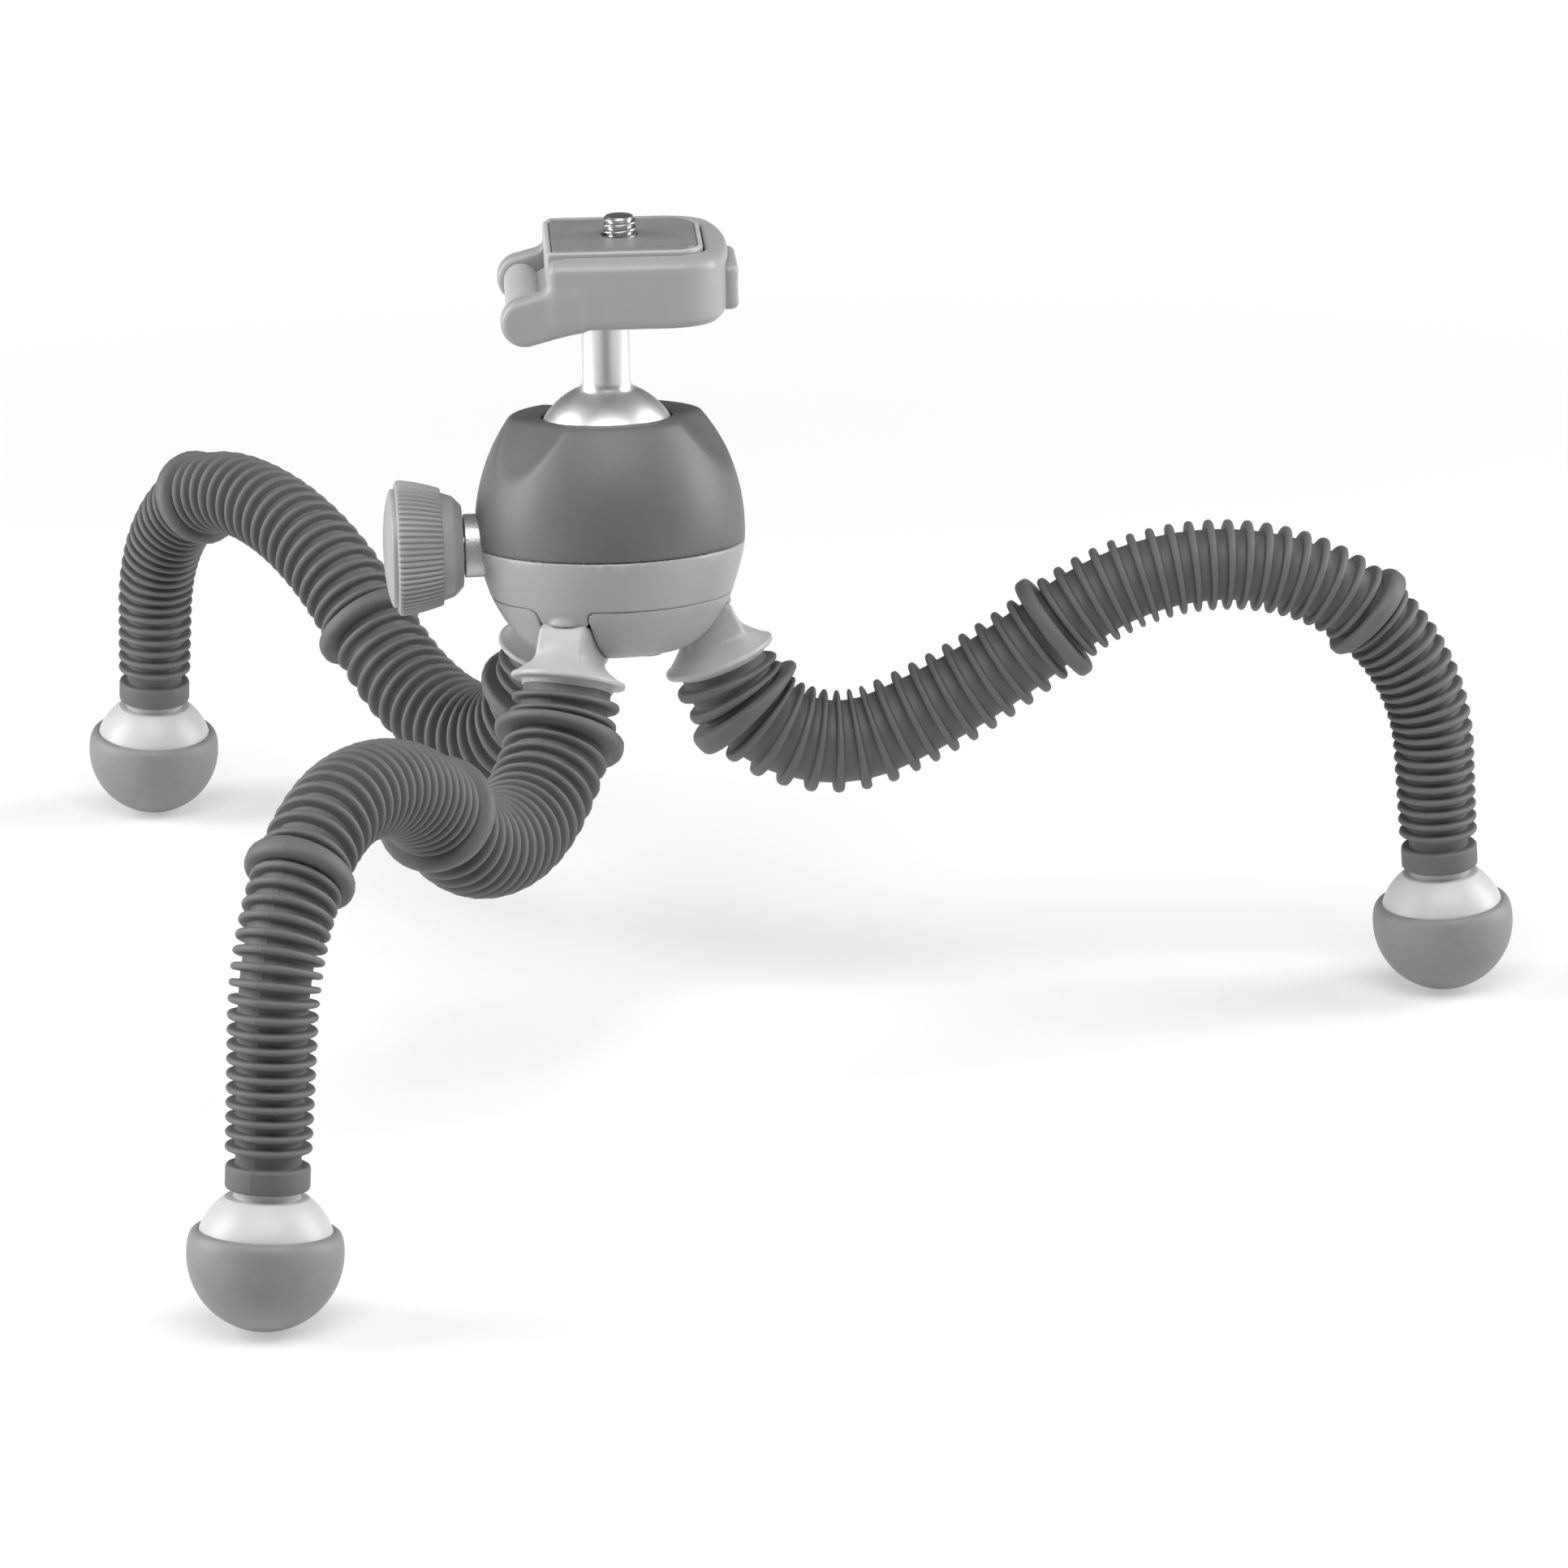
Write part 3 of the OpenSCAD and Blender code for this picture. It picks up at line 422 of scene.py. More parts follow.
SOCKETS = ("right", "back", "front")


def dome_radius(z):
    return HUB_R - DOME_ARC + np.sqrt(DOME_ARC ** 2 - (z - WIDEST) ** 2)


def facing(x, y, degrees):
    """Distance outwards and sideways from an upright plane through the hub's axis."""
    turn = math.radians(degrees)
    return x * math.cos(turn) + y * math.sin(turn), y * math.cos(turn) - x * math.sin(turn)


def boss_hole(x, y, z):
    """The round hole for the boss, from the outside to near the hub's middle."""
    outward, sideways = facing(x, y, KNOB_SWING)
    return np.maximum(np.hypot(sideways, z - SEAM) - BOSS_R - BOSS_GAP, outward + BOSS_R)


def dome_field(x, y, z):
    """The dark dome: three petals with wide troughs between them, round a level collar."""
    radius = np.hypot(x, y)
    body = common(radius - dome_radius(z), z - RIM, RIM_EASE)
    body = common(body, z - LEVEL_Z - LEVEL_RISE * (radius - LEVEL_R), TROUGH_EASE)
    for turn in TROUGH_TURNS:
        outward, sideways = facing(x, y, turn)
        above = outward * TROUGH_FACING[0] + z * TROUGH_FACING[1] - TROUGH_DEEP
        body = cut(body, np.hypot(above - TROUGH_R, sideways) - TROUGH_R, TROUGH_EASE)
    body = corner(body, SEAM - z, soft=0.2)
    opening = np.sqrt(radius ** 2 + z ** 2) - BALL_R - BALL_GAP
    body = cut(body, opening, BALL_GAP)
    body = cut(body, np.maximum(radius - BALL_R - CUP_WALL, z))
    return cut(body, boss_hole(x, y, z))


make("dome", skin(dome_field, (-HUB_ROOM, -HUB_ROOM, SEAM), (HUB_ROOM, HUB_ROOM, RIM), SHELL_STEP),
     "dark_plastic", HUB, "hub", ["upper_shell"], thin=SHELL_THIN)

TONGUE_W = 9.8
TONGUE_LOW = -29.1
TONGUE_GAP = 0.25
TONGUE_SOFT = 1.1
TONGUE_EASE = 2.2
LEG_SECTOR = 0.6
BUMP_OUT = 21.2
BUMP_SIZE = (1.4, 2.9, 2.8)
SEAM_GAP = 0.03
WEDGE_WALL = 2
BAND_CURVE = 1.3
COVER_PULL = (COVER_R - 4.6, UNDERSIDE + 0.4)

BAND_OUTLINE = [(HUB_R - (HUB_R - COVER_R) * ((SEAM - z) / (SEAM - COVER_TOP)) ** BAND_CURVE, z)
                for z in np.linspace(SEAM, COVER_TOP, 5)]
COVER_OUTLINE = bow((COVER_R, COVER_TOP), COVER_PULL, (UNDERSIDE_R, UNDERSIDE), 12)
SHELL_OUTLINE = BAND_OUTLINE + COVER_OUTLINE[1:] + [(0, UNDERSIDE), (0, SEAM)]


def tongue_outline(sideways, z):
    """The band and one of its tongues, seen from outside, with eased corners."""
    tongue = corner(np.abs(sideways) - TONGUE_W / 2, TONGUE_LOW - z, soft=TONGUE_SOFT)
    return joined(COVER_TOP - z, tongue, TONGUE_EASE)


def band_field(x, y, z):
    """The light band: its lower edge runs down into a tongue above each leg, with a small bump."""
    radius = np.hypot(x, y)
    outside = polygon(radius, z, SHELL_OUTLINE)
    edge = COVER_TOP - z
    for number in range(3):
        outward, sideways = facing(x, y, 120 * number)
        edge = np.where(outward > LEG_SECTOR * radius, tongue_outline(sideways, z), edge)
        shares = zip((outward - BUMP_OUT, sideways, z - TONGUE_LOW), BUMP_SIZE)
        bump = np.sqrt(sum((way / size) ** 2 for way, size in shares)) - 1
        outside = joined(outside, np.maximum(1.2 * bump, TONGUE_LOW - z), 0.2)
    body = corner(outside, edge, z - SEAM + SEAM_GAP, soft=EDGE)
    hollow = np.maximum(outside + HUB_WALL, radius - COVER_R + WEDGE_WALL)
    return cut(cut(body, hollow), boss_hole(x, y, z))


make("light_band",
     skin(band_field, (-HUB_ROOM, -HUB_ROOM, TONGUE_LOW), (HUB_ROOM, HUB_ROOM, SEAM), SHELL_STEP),
     "light_plastic", HUB, "hub", ["lower_shell"], thin=SHELL_THIN)

COVER_GAP = 0.08
COVER_EASE = 1.8
COVER_ROOM = 24
COVER_SCREW_AT = 11
COVER_SCREW_TURNS = (60, 180, 300)
RECESS_R = 2.9
RECESS_DEEP = 1.1


def cover_field(x, y, z):
    """The bottom cover: cut out round the tongues and necks, with recesses for its screws."""
    radius = np.hypot(x, y)
    outside = polygon(radius, z, SHELL_OUTLINE)
    room = COVER_TOP - COVER_GAP - z
    for number in range(3):
        outward, sideways = facing(x, y, 120 * number)
        slot = np.maximum(np.abs(sideways) - TONGUE_W / 2 - TONGUE_GAP, UNDERSIDE_R - outward)
        room = np.where(outward > LEG_SECTOR * radius, joined(room, slot, COVER_EASE), room)
    body = corner(outside, -room, soft=EDGE)
    body = cut(body, outside + HUB_WALL)
    for turn in COVER_SCREW_TURNS:
        outward, sideways = facing(x, y, turn)
        across = np.hypot(outward - COVER_SCREW_AT, sideways)
        body = cut(body, np.maximum(across - RECESS_R, z - UNDERSIDE - RECESS_DEEP), 0.2)
    return body


make("bottom_cover_shell",
     skin(cover_field, (-COVER_ROOM, -COVER_ROOM, UNDERSIDE), (COVER_ROOM, COVER_ROOM, COVER_TOP),
          SHELL_STEP),
     "light_plastic", HUB, "hub", ["bottom_cover"], thin=SHELL_THIN)


# Sockets

HIP_R = 19.8
HIP_DOWN = 38.8
HIP_SLOPE = 70
FLANGE_R = 10.75
FLANGE_LOW = -1.4
FLANGE_T = 1.1
FLANGE_EDGE = 0.4
FINE_STEP = 0.32
FINE_THIN = 0.4
GABLE_TOP = 4.7
GABLE_TOP_R = 5.6
GABLE_FOOT_R = FLANGE_R - 0.5
GABLE_HALF = 4.6
GABLE_FOOT_HALF = FLANGE_R - 0.6
GABLE_EASE = 0.5
SPIGOT_R = 8.6
SPIGOT_H = 1.6
SPIGOT_LOW = -2.5
NECK_W = 9.6
NECK_H = 9
NECK_BACK = -4.6
NECK_SIDE = [(NECK_BACK, 0), (6.2, 0), (5.9, GABLE_TOP), (5.6, NECK_H - 1), (4.6, NECK_H),
             (NECK_BACK, NECK_H + 0.4)]
NECK_EDGE = 0.8
NECK_EASE = 0.9


def socket_field(x, y, z):
    """A socket: a thin flange under a gable that rises to a narrow neck, and a step for the sleeve."""
    radius = np.hypot(x, y)
    flange_top = FLANGE_LOW + FLANGE_T
    flange = corner(radius - FLANGE_R, span(z, FLANGE_LOW, flange_top), soft=FLANGE_EDGE)
    fall = np.clip((GABLE_TOP - z) / (GABLE_TOP - flange_top), 0, 1)
    slope = radius - GABLE_TOP_R - (GABLE_FOOT_R - GABLE_TOP_R) * fall ** 1.3
    sides = np.abs(y) - GABLE_HALF - (GABLE_FOOT_HALF - GABLE_HALF) * fall ** 2.6
    gable = common(0.75 * slope, 0.6 * sides, GABLE_EASE)
    gable = common(gable, span(z, FLANGE_LOW + FLANGE_EDGE, GABLE_TOP), GABLE_EASE)
    neck = corner(polygon(x, z, NECK_SIDE), np.abs(y) - NECK_W / 2, soft=NECK_EDGE)
    body = joined(joined(flange, gable, GABLE_EASE), neck, NECK_EASE)
    spigot = corner(radius - SPIGOT_R, span(z, SPIGOT_LOW, FLANGE_EDGE), soft=0.25)
    return joined(body, spigot, 0.1)


for number, leg in enumerate(SOCKETS):
    flange = HUB @ turned(120 * number, "Z") @ moved(HIP_R, 0, -HIP_DOWN) @ turned(HIP_SLOPE - 90, "Y")
    make(f"{leg}_flanged_socket", skin(socket_field, (-11, -11, -3), (11, 11, 10), FINE_STEP), "pale_plastic",
         flange, "hub", [f"{leg}_socket"], thin=FINE_THIN)


# Lock knob

BOSS_IN = 20.3
BOSS_OUT = 27.7
BOSS_BORE_R = 3.2
KNOB_BACK = 28.0
KNOB_BORE_R = 3.1
KNOB_BACK_R = 7.7
KNOB_CONE = 3.9
KNOB_CONE_R = 10.2
KNOB_WAIST_R = 11.2
KNOB_R = 12.8
KNOB_BAND_END = 11.6
KNOB_FRONT = 12.5
KNOB_RIBS = 68
KNOB_RIB_DEPTH = 0.45
RIB_SHAPE = (0, 0.04, 0.45, 1, 1, 0.45, 0.04)
RIB_END_R = 12
CAP_R = 11.2
CAP_SEAT = KNOB_BAND_END + 0.05
CAP_EDGE = 13.4
CAP_TOP = 14.9


def on_knob_axis(out):
    return HUB @ turned(KNOB_SWING, "Z") @ moved(-out, 0, SEAM) @ turned(-90, "Y")


boss_length = BOSS_OUT - BOSS_IN
boss_outline = soften([(BOSS_BORE_R, 0), (BOSS_R, 0), (BOSS_R, boss_length), (BOSS_BORE_R, boss_length)], 0.3)
make("painted_boss", lathe(boss_outline, 64), "silver_paint", on_knob_axis(BOSS_IN), "hub", ["screw_boss"],
     crease=50)

knob_back = soften([(KNOB_BORE_R, 0), (KNOB_BACK_R, 0, 0.5), (9.5, 1.7, 2), (KNOB_CONE_R, KNOB_CONE)], 0.4)
knob_band = [(KNOB_WAIST_R - 0.3, KNOB_CONE), (KNOB_WAIST_R - 0.05, KNOB_CONE + 0.3)] + \
    bow((KNOB_WAIST_R, KNOB_CONE + 0.5), (KNOB_R - 0.3, 8.4), (KNOB_R, KNOB_BAND_END), 8)
knob_front = soften([(KNOB_R, CAP_SEAT), (KNOB_R - 0.15, CAP_SEAT + 0.5), (RIB_END_R, KNOB_FRONT, 0.4),
                     (CAP_R + 0.15, KNOB_FRONT, 0.2), (CAP_R + 0.1, KNOB_BAND_END), (0, KNOB_BAND_END)], 0.3)
front_depths = [KNOB_RIB_DEPTH * max(0, (radius - RIB_END_R) / (KNOB_R - RIB_END_R))
                for radius, _ in knob_front]
rib_depths = np.concatenate([np.zeros(len(knob_back)), np.full(len(knob_band), KNOB_RIB_DEPTH), front_depths])
make("ribbed_knob", lathe(knob_back + knob_band + knob_front, KNOB_RIBS * len(RIB_SHAPE),
                          (np.tile(RIB_SHAPE, KNOB_RIBS), rib_depths)),
     "light_plastic", on_knob_axis(KNOB_BACK), "knob", ["lock_knob"], crease=38)

cap_outline = soften([(0, CAP_SEAT), (CAP_R, CAP_SEAT), (CAP_R, CAP_EDGE, 0.4)], 0.1)[:-1] + \
    bow((CAP_R, CAP_EDGE - 0.3), (CAP_R - 0.05, CAP_EDGE + 0.05), (CAP_R - 0.7, CAP_EDGE + 0.2), 4) + \
    bow((CAP_R - 1, CAP_EDGE + 0.35), (6, CAP_TOP), (0, CAP_TOP), 10)
make("plain_cap", lathe(cap_outline, 96), "light_plastic", on_knob_axis(KNOB_BACK), "knob", ["knob_cap"])


# Ball and stem

STEM_R = 4.5
FRAME_LOW = 28.8
FRAME_TOP = 41.6

fillet_r = STEM_R + 1.4
fillet_z = math.sqrt(BALL_R ** 2 - fillet_r ** 2)
ball_arc = [(BALL_R * math.cos(a), BALL_R * math.sin(a))
            for a in np.linspace(-math.pi / 2, math.asin(fillet_z / BALL_R), 40)]
lower_fillet = bow((fillet_r, fillet_z), (STEM_R + 0.1, fillet_z + 0.55), (STEM_R, fillet_z + 2.2), 6)
upper_fillet = bow((STEM_R, FRAME_LOW - 1.6), (STEM_R, FRAME_LOW - 0.2), (STEM_R + 1, FRAME_LOW), 5)
stem_outline = ball_arc + lower_fillet[1:] + [(STEM_R, FRAME_LOW - 2)] + upper_fillet + [(0, FRAME_LOW)]
make("turned_ball_and_stem", lathe(stem_outline, 96), "turned_aluminium", HEAD, "ball", ["ball_stem"])


# Head frame, plate, pad, screw and button

FRAME_W = 40
FRAME_LEFT = -11
FRAME_RIGHT = 24.3
FRAME_END_R = 34
FRAME_END_EASE = 5
FRAME_CORNER = 1.8
FRAME_EDGE = 2
POCKET_FLOOR = 33.8
PLATE_RIGHT = 18.2
PLATE_W = 27
PLATE_LOW = 34
PLATE_TOP = 42.4
PLATE_GAP = 0.4
PLATE_CORNER = 5.5
HINGE_X = -15.3
HINGE_Z = 30.6
EAR_R = 4.5
EAR_T = 5
EAR_UP = 7.6
EAR_ROOT = -4.6
EAR_EDGE = 1.3
EAR_EASE = 1.6
EAR_TANGENTS = (115, -75)
NOTCH_X = -8
CHANNEL_X = 5.4
CHANNEL_HALF = 3.2
CHANNEL_UP = 2.5
BASE_SCREW_R = 3.6
BASE_SCREW_SINK = 1.9
PIN_HALF = 18
PIN_R = 1.5
PAD_TOP = 42.6
PAD_T = 1.2
PAD_LIP = 1
SCREW_X = 3
SCREW_R = 3.175
SCREW_PITCH = 1.27
SCREW_UP = 3.6
BUTTON_W = 17
BUTTON_X = 20.7
BUTTON_OUT = 25.1
BUTTON_LOW = 29.3
BUTTON_TOP = 38.2
BUTTON_GAP = 0.3
BUTTON_SEAT = 4.5


def rounded_end(x, y, left, right, half, radius, left_radius=0.6):
    """A plate seen from above: square at its left end, with big round corners at its right."""
    radius = np.where(x > (left + right) / 2, radius, left_radius)
    return corner(span(x, left, right), np.abs(y) - half, soft=radius)


def frame_field(x, y, z):
    """The head frame: a D of rails round the plate, with two ears at its left for the hinge."""
    block = corner(span(x, FRAME_LEFT, FRAME_RIGHT), np.abs(y) - FRAME_W / 2, soft=FRAME_CORNER)
    end = np.hypot(np.maximum(x - FRAME_RIGHT + FRAME_END_R, 0), y) - FRAME_END_R
    body = corner(common(block, end, FRAME_END_EASE), span(z, FRAME_LOW, FRAME_TOP), soft=FRAME_EDGE)
    ear_top = FRAME_LOW + EAR_UP
    upper, lower = [(HINGE_X + EAR_R * math.cos(turn), HINGE_Z + EAR_R * math.sin(turn))
                    for turn in np.radians(EAR_TANGENTS)]
    arm = polygon(x, z, [upper, (FRAME_LEFT, ear_top), (EAR_ROOT, ear_top), (EAR_ROOT, FRAME_LOW), lower])
    lobe = np.hypot(x - HINGE_X, z - HINGE_Z) - EAR_R
    ears = corner(np.minimum(arm, lobe), span(np.abs(y), FRAME_W / 2 - EAR_T, FRAME_W / 2), soft=EAR_EDGE)
    body = joined(body, ears, EAR_EASE)
    pocket_half = PLATE_W / 2 + PLATE_GAP
    pocket = np.maximum(rounded_end(x, y, FRAME_LEFT - 9, PLATE_RIGHT + PLATE_GAP, pocket_half, PLATE_CORNER),
                        POCKET_FLOOR - z)
    body = cut(body, pocket, 0.5)
    notch = np.maximum(x - NOTCH_X, np.abs(y) - FRAME_W / 2 + EAR_T)
    body = cut(body, notch, 0.4)
    seat = corner(BUTTON_X - BUTTON_SEAT - x, np.abs(y) - BUTTON_W / 2 - BUTTON_GAP,
                  span(z, BUTTON_LOW - BUTTON_GAP, BUTTON_TOP + BUTTON_GAP), soft=0.8)
    body = cut(body, seat, 0.3)
    channel = np.maximum.reduce([CHANNEL_X - x, np.abs(y) - CHANNEL_HALF,
                                 span(z, FRAME_LOW + CHANNEL_UP, POCKET_FLOOR + 1)])
    body = cut(body, channel)
    body = cut(body, np.maximum(np.hypot(x, y) - BASE_SCREW_R, POCKET_FLOOR - BASE_SCREW_SINK - z))
    return cut(body, np.maximum(np.hypot(x - HINGE_X, z - HINGE_Z) - PIN_R, np.abs(y) - PIN_HALF))


make("head_rails", skin(frame_field, (-20.5, -20.2, 25.2), (24.7, 20.2, 42), SHELL_STEP), "light_plastic",
     HEAD, "ball", ["head_frame"], thin=FINE_THIN)

SCREW_HEAD_R = 6.2
SCREW_HEAD_LOW = 36
SCREW_HEAD_T = 1.9
BARREL_R = 3.3
BARREL_HALF = 14.7
LINK_RIGHT = -8.6
LINK_TOP = 33.4


def plate_field(x, y, z):
    """The camera plate: a slab with a lip round its pad, hollow below for the screw and the latch."""
    top = rounded_end(x, y, FRAME_LEFT, PLATE_RIGHT, PLATE_W / 2, PLATE_CORNER)
    slab = corner(top, span(z, PLATE_LOW, PLATE_TOP), soft=0.55)
    link = corner(span(x, HINGE_X + 1, LINK_RIGHT), np.abs(y) - BARREL_HALF,
                  span(z, HINGE_Z - 2.6, LINK_TOP), soft=0.5)
    under = polygon(x, z, [(HINGE_X, HINGE_Z - BARREL_R), (LINK_RIGHT, HINGE_Z - 0.6), (LINK_RIGHT, 36),
                           (FRAME_LEFT, 33), (HINGE_X, HINGE_Z)])
    body = joined(slab, np.maximum(link, under), 1.2)
    inset = rounded_end(x, y, FRAME_LEFT + PAD_LIP, PLATE_RIGHT - PAD_LIP, PLATE_W / 2 - PAD_LIP,
                        PLATE_CORNER - PAD_LIP)
    body = cut(body, np.maximum(inset, PAD_TOP - PAD_T - z), 0.1)
    from_screw = np.hypot(x - SCREW_X, y)
    body = cut(body, from_screw - SCREW_R - 0.1)
    body = cut(body, np.maximum(from_screw - SCREW_HEAD_R - 0.4, z - SCREW_HEAD_LOW - SCREW_HEAD_T - 0.1))
    latch = np.maximum.reduce([span(x, 9, 14), np.abs(y) - 4, z - PLATE_LOW - 3.6])
    return cut(body, latch)


make("camera_plate", skin(plate_field, (-16, -15, 26.5), (18.6, 15, PLATE_TOP), SHELL_STEP), "pale_plastic",
     HEAD, "plate", ["mount_plate"], thin=FINE_THIN)

ring_line = [(BARREL_R, -0.14), (BARREL_R - 0.18, -0.05), (BARREL_R - 0.18, 0.05), (BARREL_R, 0.14)]
barrel_outline = [(PIN_R, -BARREL_HALF)] + \
    soften([(PIN_R, -BARREL_HALF), (BARREL_R, -BARREL_HALF), (BARREL_R, -BARREL_HALF + 1)], 0.3)[1:] + \
    [(r, z + at) for at in (-8.4, -2.8, 2.8, 8.4) for r, z in ring_line] + \
    soften([(BARREL_R, BARREL_HALF - 1), (BARREL_R, BARREL_HALF), (PIN_R, BARREL_HALF)], 0.3)
make("hinge_barrel", lathe(barrel_outline, 48), "pale_plastic",
     HEAD @ moved(HINGE_X, 0, HINGE_Z) @ turned(-90, "X"), "plate", ["mount_plate"], crease=40)


PAD_EDGE = PAD_LIP + 0.12


def pad_field(x, y, z):
    """The rubber pad inside the plate's lip, with a hole for the screw."""
    outline = rounded_end(x, y, FRAME_LEFT + PAD_EDGE, PLATE_RIGHT - PAD_EDGE, PLATE_W / 2 - PAD_EDGE,
                          PLATE_CORNER - PAD_LIP)
    pad = corner(outline, span(z, PAD_TOP - PAD_T, PAD_TOP), soft=0.3)
    return cut(pad, np.hypot(x - SCREW_X, y) - SCREW_R - 0.15, 0.2)


make("grip_pad", skin(pad_field, (-10.5, -13, 41), (17.6, 13, PAD_TOP), 0.3), "pad_rubber", HEAD, "plate",
     ["camera_pad"], thin=0.3)


def screw_thread():
    """The camera screw's thread: a ridge that climbs one pitch each turn, with a chamfered end."""
    columns, low, top, core = 72, SCREW_HEAD_LOW + SCREW_HEAD_T, PAD_TOP + SCREW_UP, SCREW_R - 0.72
    heights = np.arange(low, top + 0.01, SCREW_PITCH / 18)
    angles = np.arange(columns) * 2 * math.pi / columns
    phase = (heights[:, None] / SCREW_PITCH - angles[None, :] / (2 * math.pi)) % 1
    ridge = np.clip(1.18 - 2.7 * np.abs(phase - 0.5), 0, 1)
    ridge = ridge * ridge * (3 - 2 * ridge)
    radius = np.minimum(core + (SCREW_R - core) * ridge, SCREW_R - 0.75 + (top - heights)[:, None])
    radius = np.concatenate([radius, np.full((1, columns), 1.9), np.zeros((1, columns))])
    heights = np.concatenate([heights, [top + 0.02, top + 0.02]])
    rings = np.stack([radius * np.cos(angles), radius * np.sin(angles),
                      np.repeat(heights[:, None], columns, 1)], -1)
    return tube(rings)


def screw_head_field(x, y, z):
    """The camera screw's head, with its slot."""
    height = span(z, SCREW_HEAD_LOW, SCREW_HEAD_LOW + SCREW_HEAD_T)
    head = corner(np.hypot(x, y) - SCREW_HEAD_R, height, soft=0.35)
    return cut(head, np.maximum(np.abs(y) - 0.8, z - SCREW_HEAD_LOW - 1), 0.1)


make("screw_thread", screw_thread(), "steel", HEAD @ moved(SCREW_X, 0, 0), "camera_screw", ["camera_screw"])
make("screw_head", skin(screw_head_field, (-6.5, -6.5, 35.8), (6.5, 6.5, 38.2), 0.3), "steel",
     HEAD @ moved(SCREW_X, 0, 0), "camera_screw", ["camera_screw"], thin=FINE_THIN)

ARM_LEFT = 11.4
ARM_HALF = 3
ARM_LOW = 31.55
ARM_TOP = 33.35
POST_T = 1.5
POST_TOP = 36.9
DISH_R = 30
DISH_DEEP = 0.4


def button_field(x, y, z):
    """The release button: a rounded tab on an arm whose post stands in the plate's latch."""
    tab = corner(span(x, BUTTON_X, BUTTON_OUT), np.abs(y) - BUTTON_W / 2, span(z, BUTTON_LOW, BUTTON_TOP),
                 soft=1.9)
    middle = (BUTTON_LOW + BUTTON_TOP) / 2
    tab = cut(tab, np.hypot(x - BUTTON_OUT - DISH_R + DISH_DEEP, z - middle) - DISH_R, 0.6)
    across = np.abs(y) - ARM_HALF
    arm = np.maximum.reduce([span(x, ARM_LEFT, BUTTON_X + 1), across, span(z, ARM_LOW, ARM_TOP)])
    post = np.maximum.reduce([span(x, ARM_LEFT, ARM_LEFT + POST_T), across, span(z, ARM_LOW, POST_TOP)])
    return np.minimum(tab, np.minimum(arm, post))


make("release_tab", skin(button_field, (11.2, -8.7, 29.1), (25.7, 8.7, 38.4), FINE_STEP), "light_plastic",
     HEAD, "button", ["release_button"], thin=FINE_THIN)


# Legs

LEG_LENGTH = 199
HIP_RUN = 4
BEND_LENGTHS = (37, 32, 43, 50)
FOOT_R = 13.5
FOOT_REACH = 11.3
SWING_EASE = 20
LEG_TURNS = {"right": (93, 13, -51, -72), "back": (75, 38, -39, -84), "front": (67, 38, -37, -84)}
LEG_SWINGS = {"right": -3, "back": 2, "front": 4}
DEGREE = math.pi / 180


class LegPath:
    """A leg's centre line: straight runs and bends in an upright plane, ending over its foot."""

    def __init__(self, leg):
        self.azimuth = 120 * SOCKETS.index(leg)
        self.swing = LEG_SWINGS[leg]
        out = Vector((math.cos(self.azimuth * DEGREE), math.sin(self.azimuth * DEGREE), 0))
        lean = turned(HUB_LEAN, "X")
        self.hip = BALL / MM + lean @ (out * HIP_R - Vector((0, 0, HIP_DOWN)))
        way = lean @ (out * math.cos(HIP_SLOPE * DEGREE) - Vector((0, 0, math.sin(HIP_SLOPE * DEGREE))))
        off = math.atan2(way.y, way.x) / DEGREE - self.azimuth
        self.first_azimuth = self.azimuth + off - 360 * round(off / 360)
        self.first_slope = math.asin(way.z) / DEGREE
        turns = LEG_TURNS[leg]
        bends = list(zip(BEND_LENGTHS, turns))
        spare = LEG_LENGTH - HIP_RUN - sum(BEND_LENGTHS)
        self.bends = [(HIP_RUN, 0), *bends[:2], (0, 0), *bends[2:], (0, 0)]
        _, height, last = self.walk(LEG_LENGTH - spare)
        rise = math.sin((self.first_slope + turns[0] + turns[1]) * DEGREE)
        fall = math.sin(last * DEGREE)
        run = (FOOT_R - FOOT_REACH * fall - height - spare * fall) / (rise - fall)
        self.bends[3], self.bends[6] = (run, 0), (spare - run, 0)

    def walk(self, distance):
        """[way out, height, slope] at a distance along the leg."""
        out, height, slope = 0, self.hip.z, self.first_slope
        for length, turn in self.bends + [(LEG_LENGTH, 0)]:
            part = min(distance, length)
            bend = turn * part / length if length else 0
            half = bend / 2 * DEGREE
            chord = part * (math.sin(half) / half if half else 1)
            out += chord * math.cos(slope * DEGREE + half)
            height += chord * math.sin(slope * DEGREE + half)
            slope += bend
            distance -= part
            if distance <= 0:
                break
        return out, height, slope

    def frame(self, distance):
        """Centre, sideways, upper and forward directions at a distance along the leg."""
        out, height, slope = self.walk(max(distance, 0))
        ease = min(max((distance - HIP_RUN) / SWING_EASE, 0), 1)
        azimuth = (self.first_azimuth + (self.azimuth + self.swing - self.first_azimuth) * ease) * DEGREE
        slope *= DEGREE
        level = Vector((math.cos(azimuth), math.sin(azimuth), 0))
        forward = level * math.cos(slope) + Vector((0, 0, math.sin(slope)))
        centre = Vector((self.hip.x, self.hip.y, 0)) + level * out + Vector((0, 0, height))
        if distance < 0:
            centre += forward * distance
        side = Vector((-math.sin(azimuth), math.cos(azimuth), 0))
        upper = Vector((0, 0, math.cos(slope))) - level * math.sin(slope)
        return centre, side, upper, forward

    def rings(self, profile, angles, lift=None):
        """Rings of points round the leg, for a profile of [distance, radius]."""
        rows = []
        for distance, radius in profile:
            centre, side, upper, _ = (np.array(v) for v in self.frame(distance))
            reach = radius + (lift if lift is not None else 0)
            across, up = np.cos(angles) * reach, np.sin(angles) * reach
            rows.append(centre + across[:, None] * side + up[:, None] * upper)
        return np.array(rows)


# Ribs along a leg: [distance, crest radius, thickness]

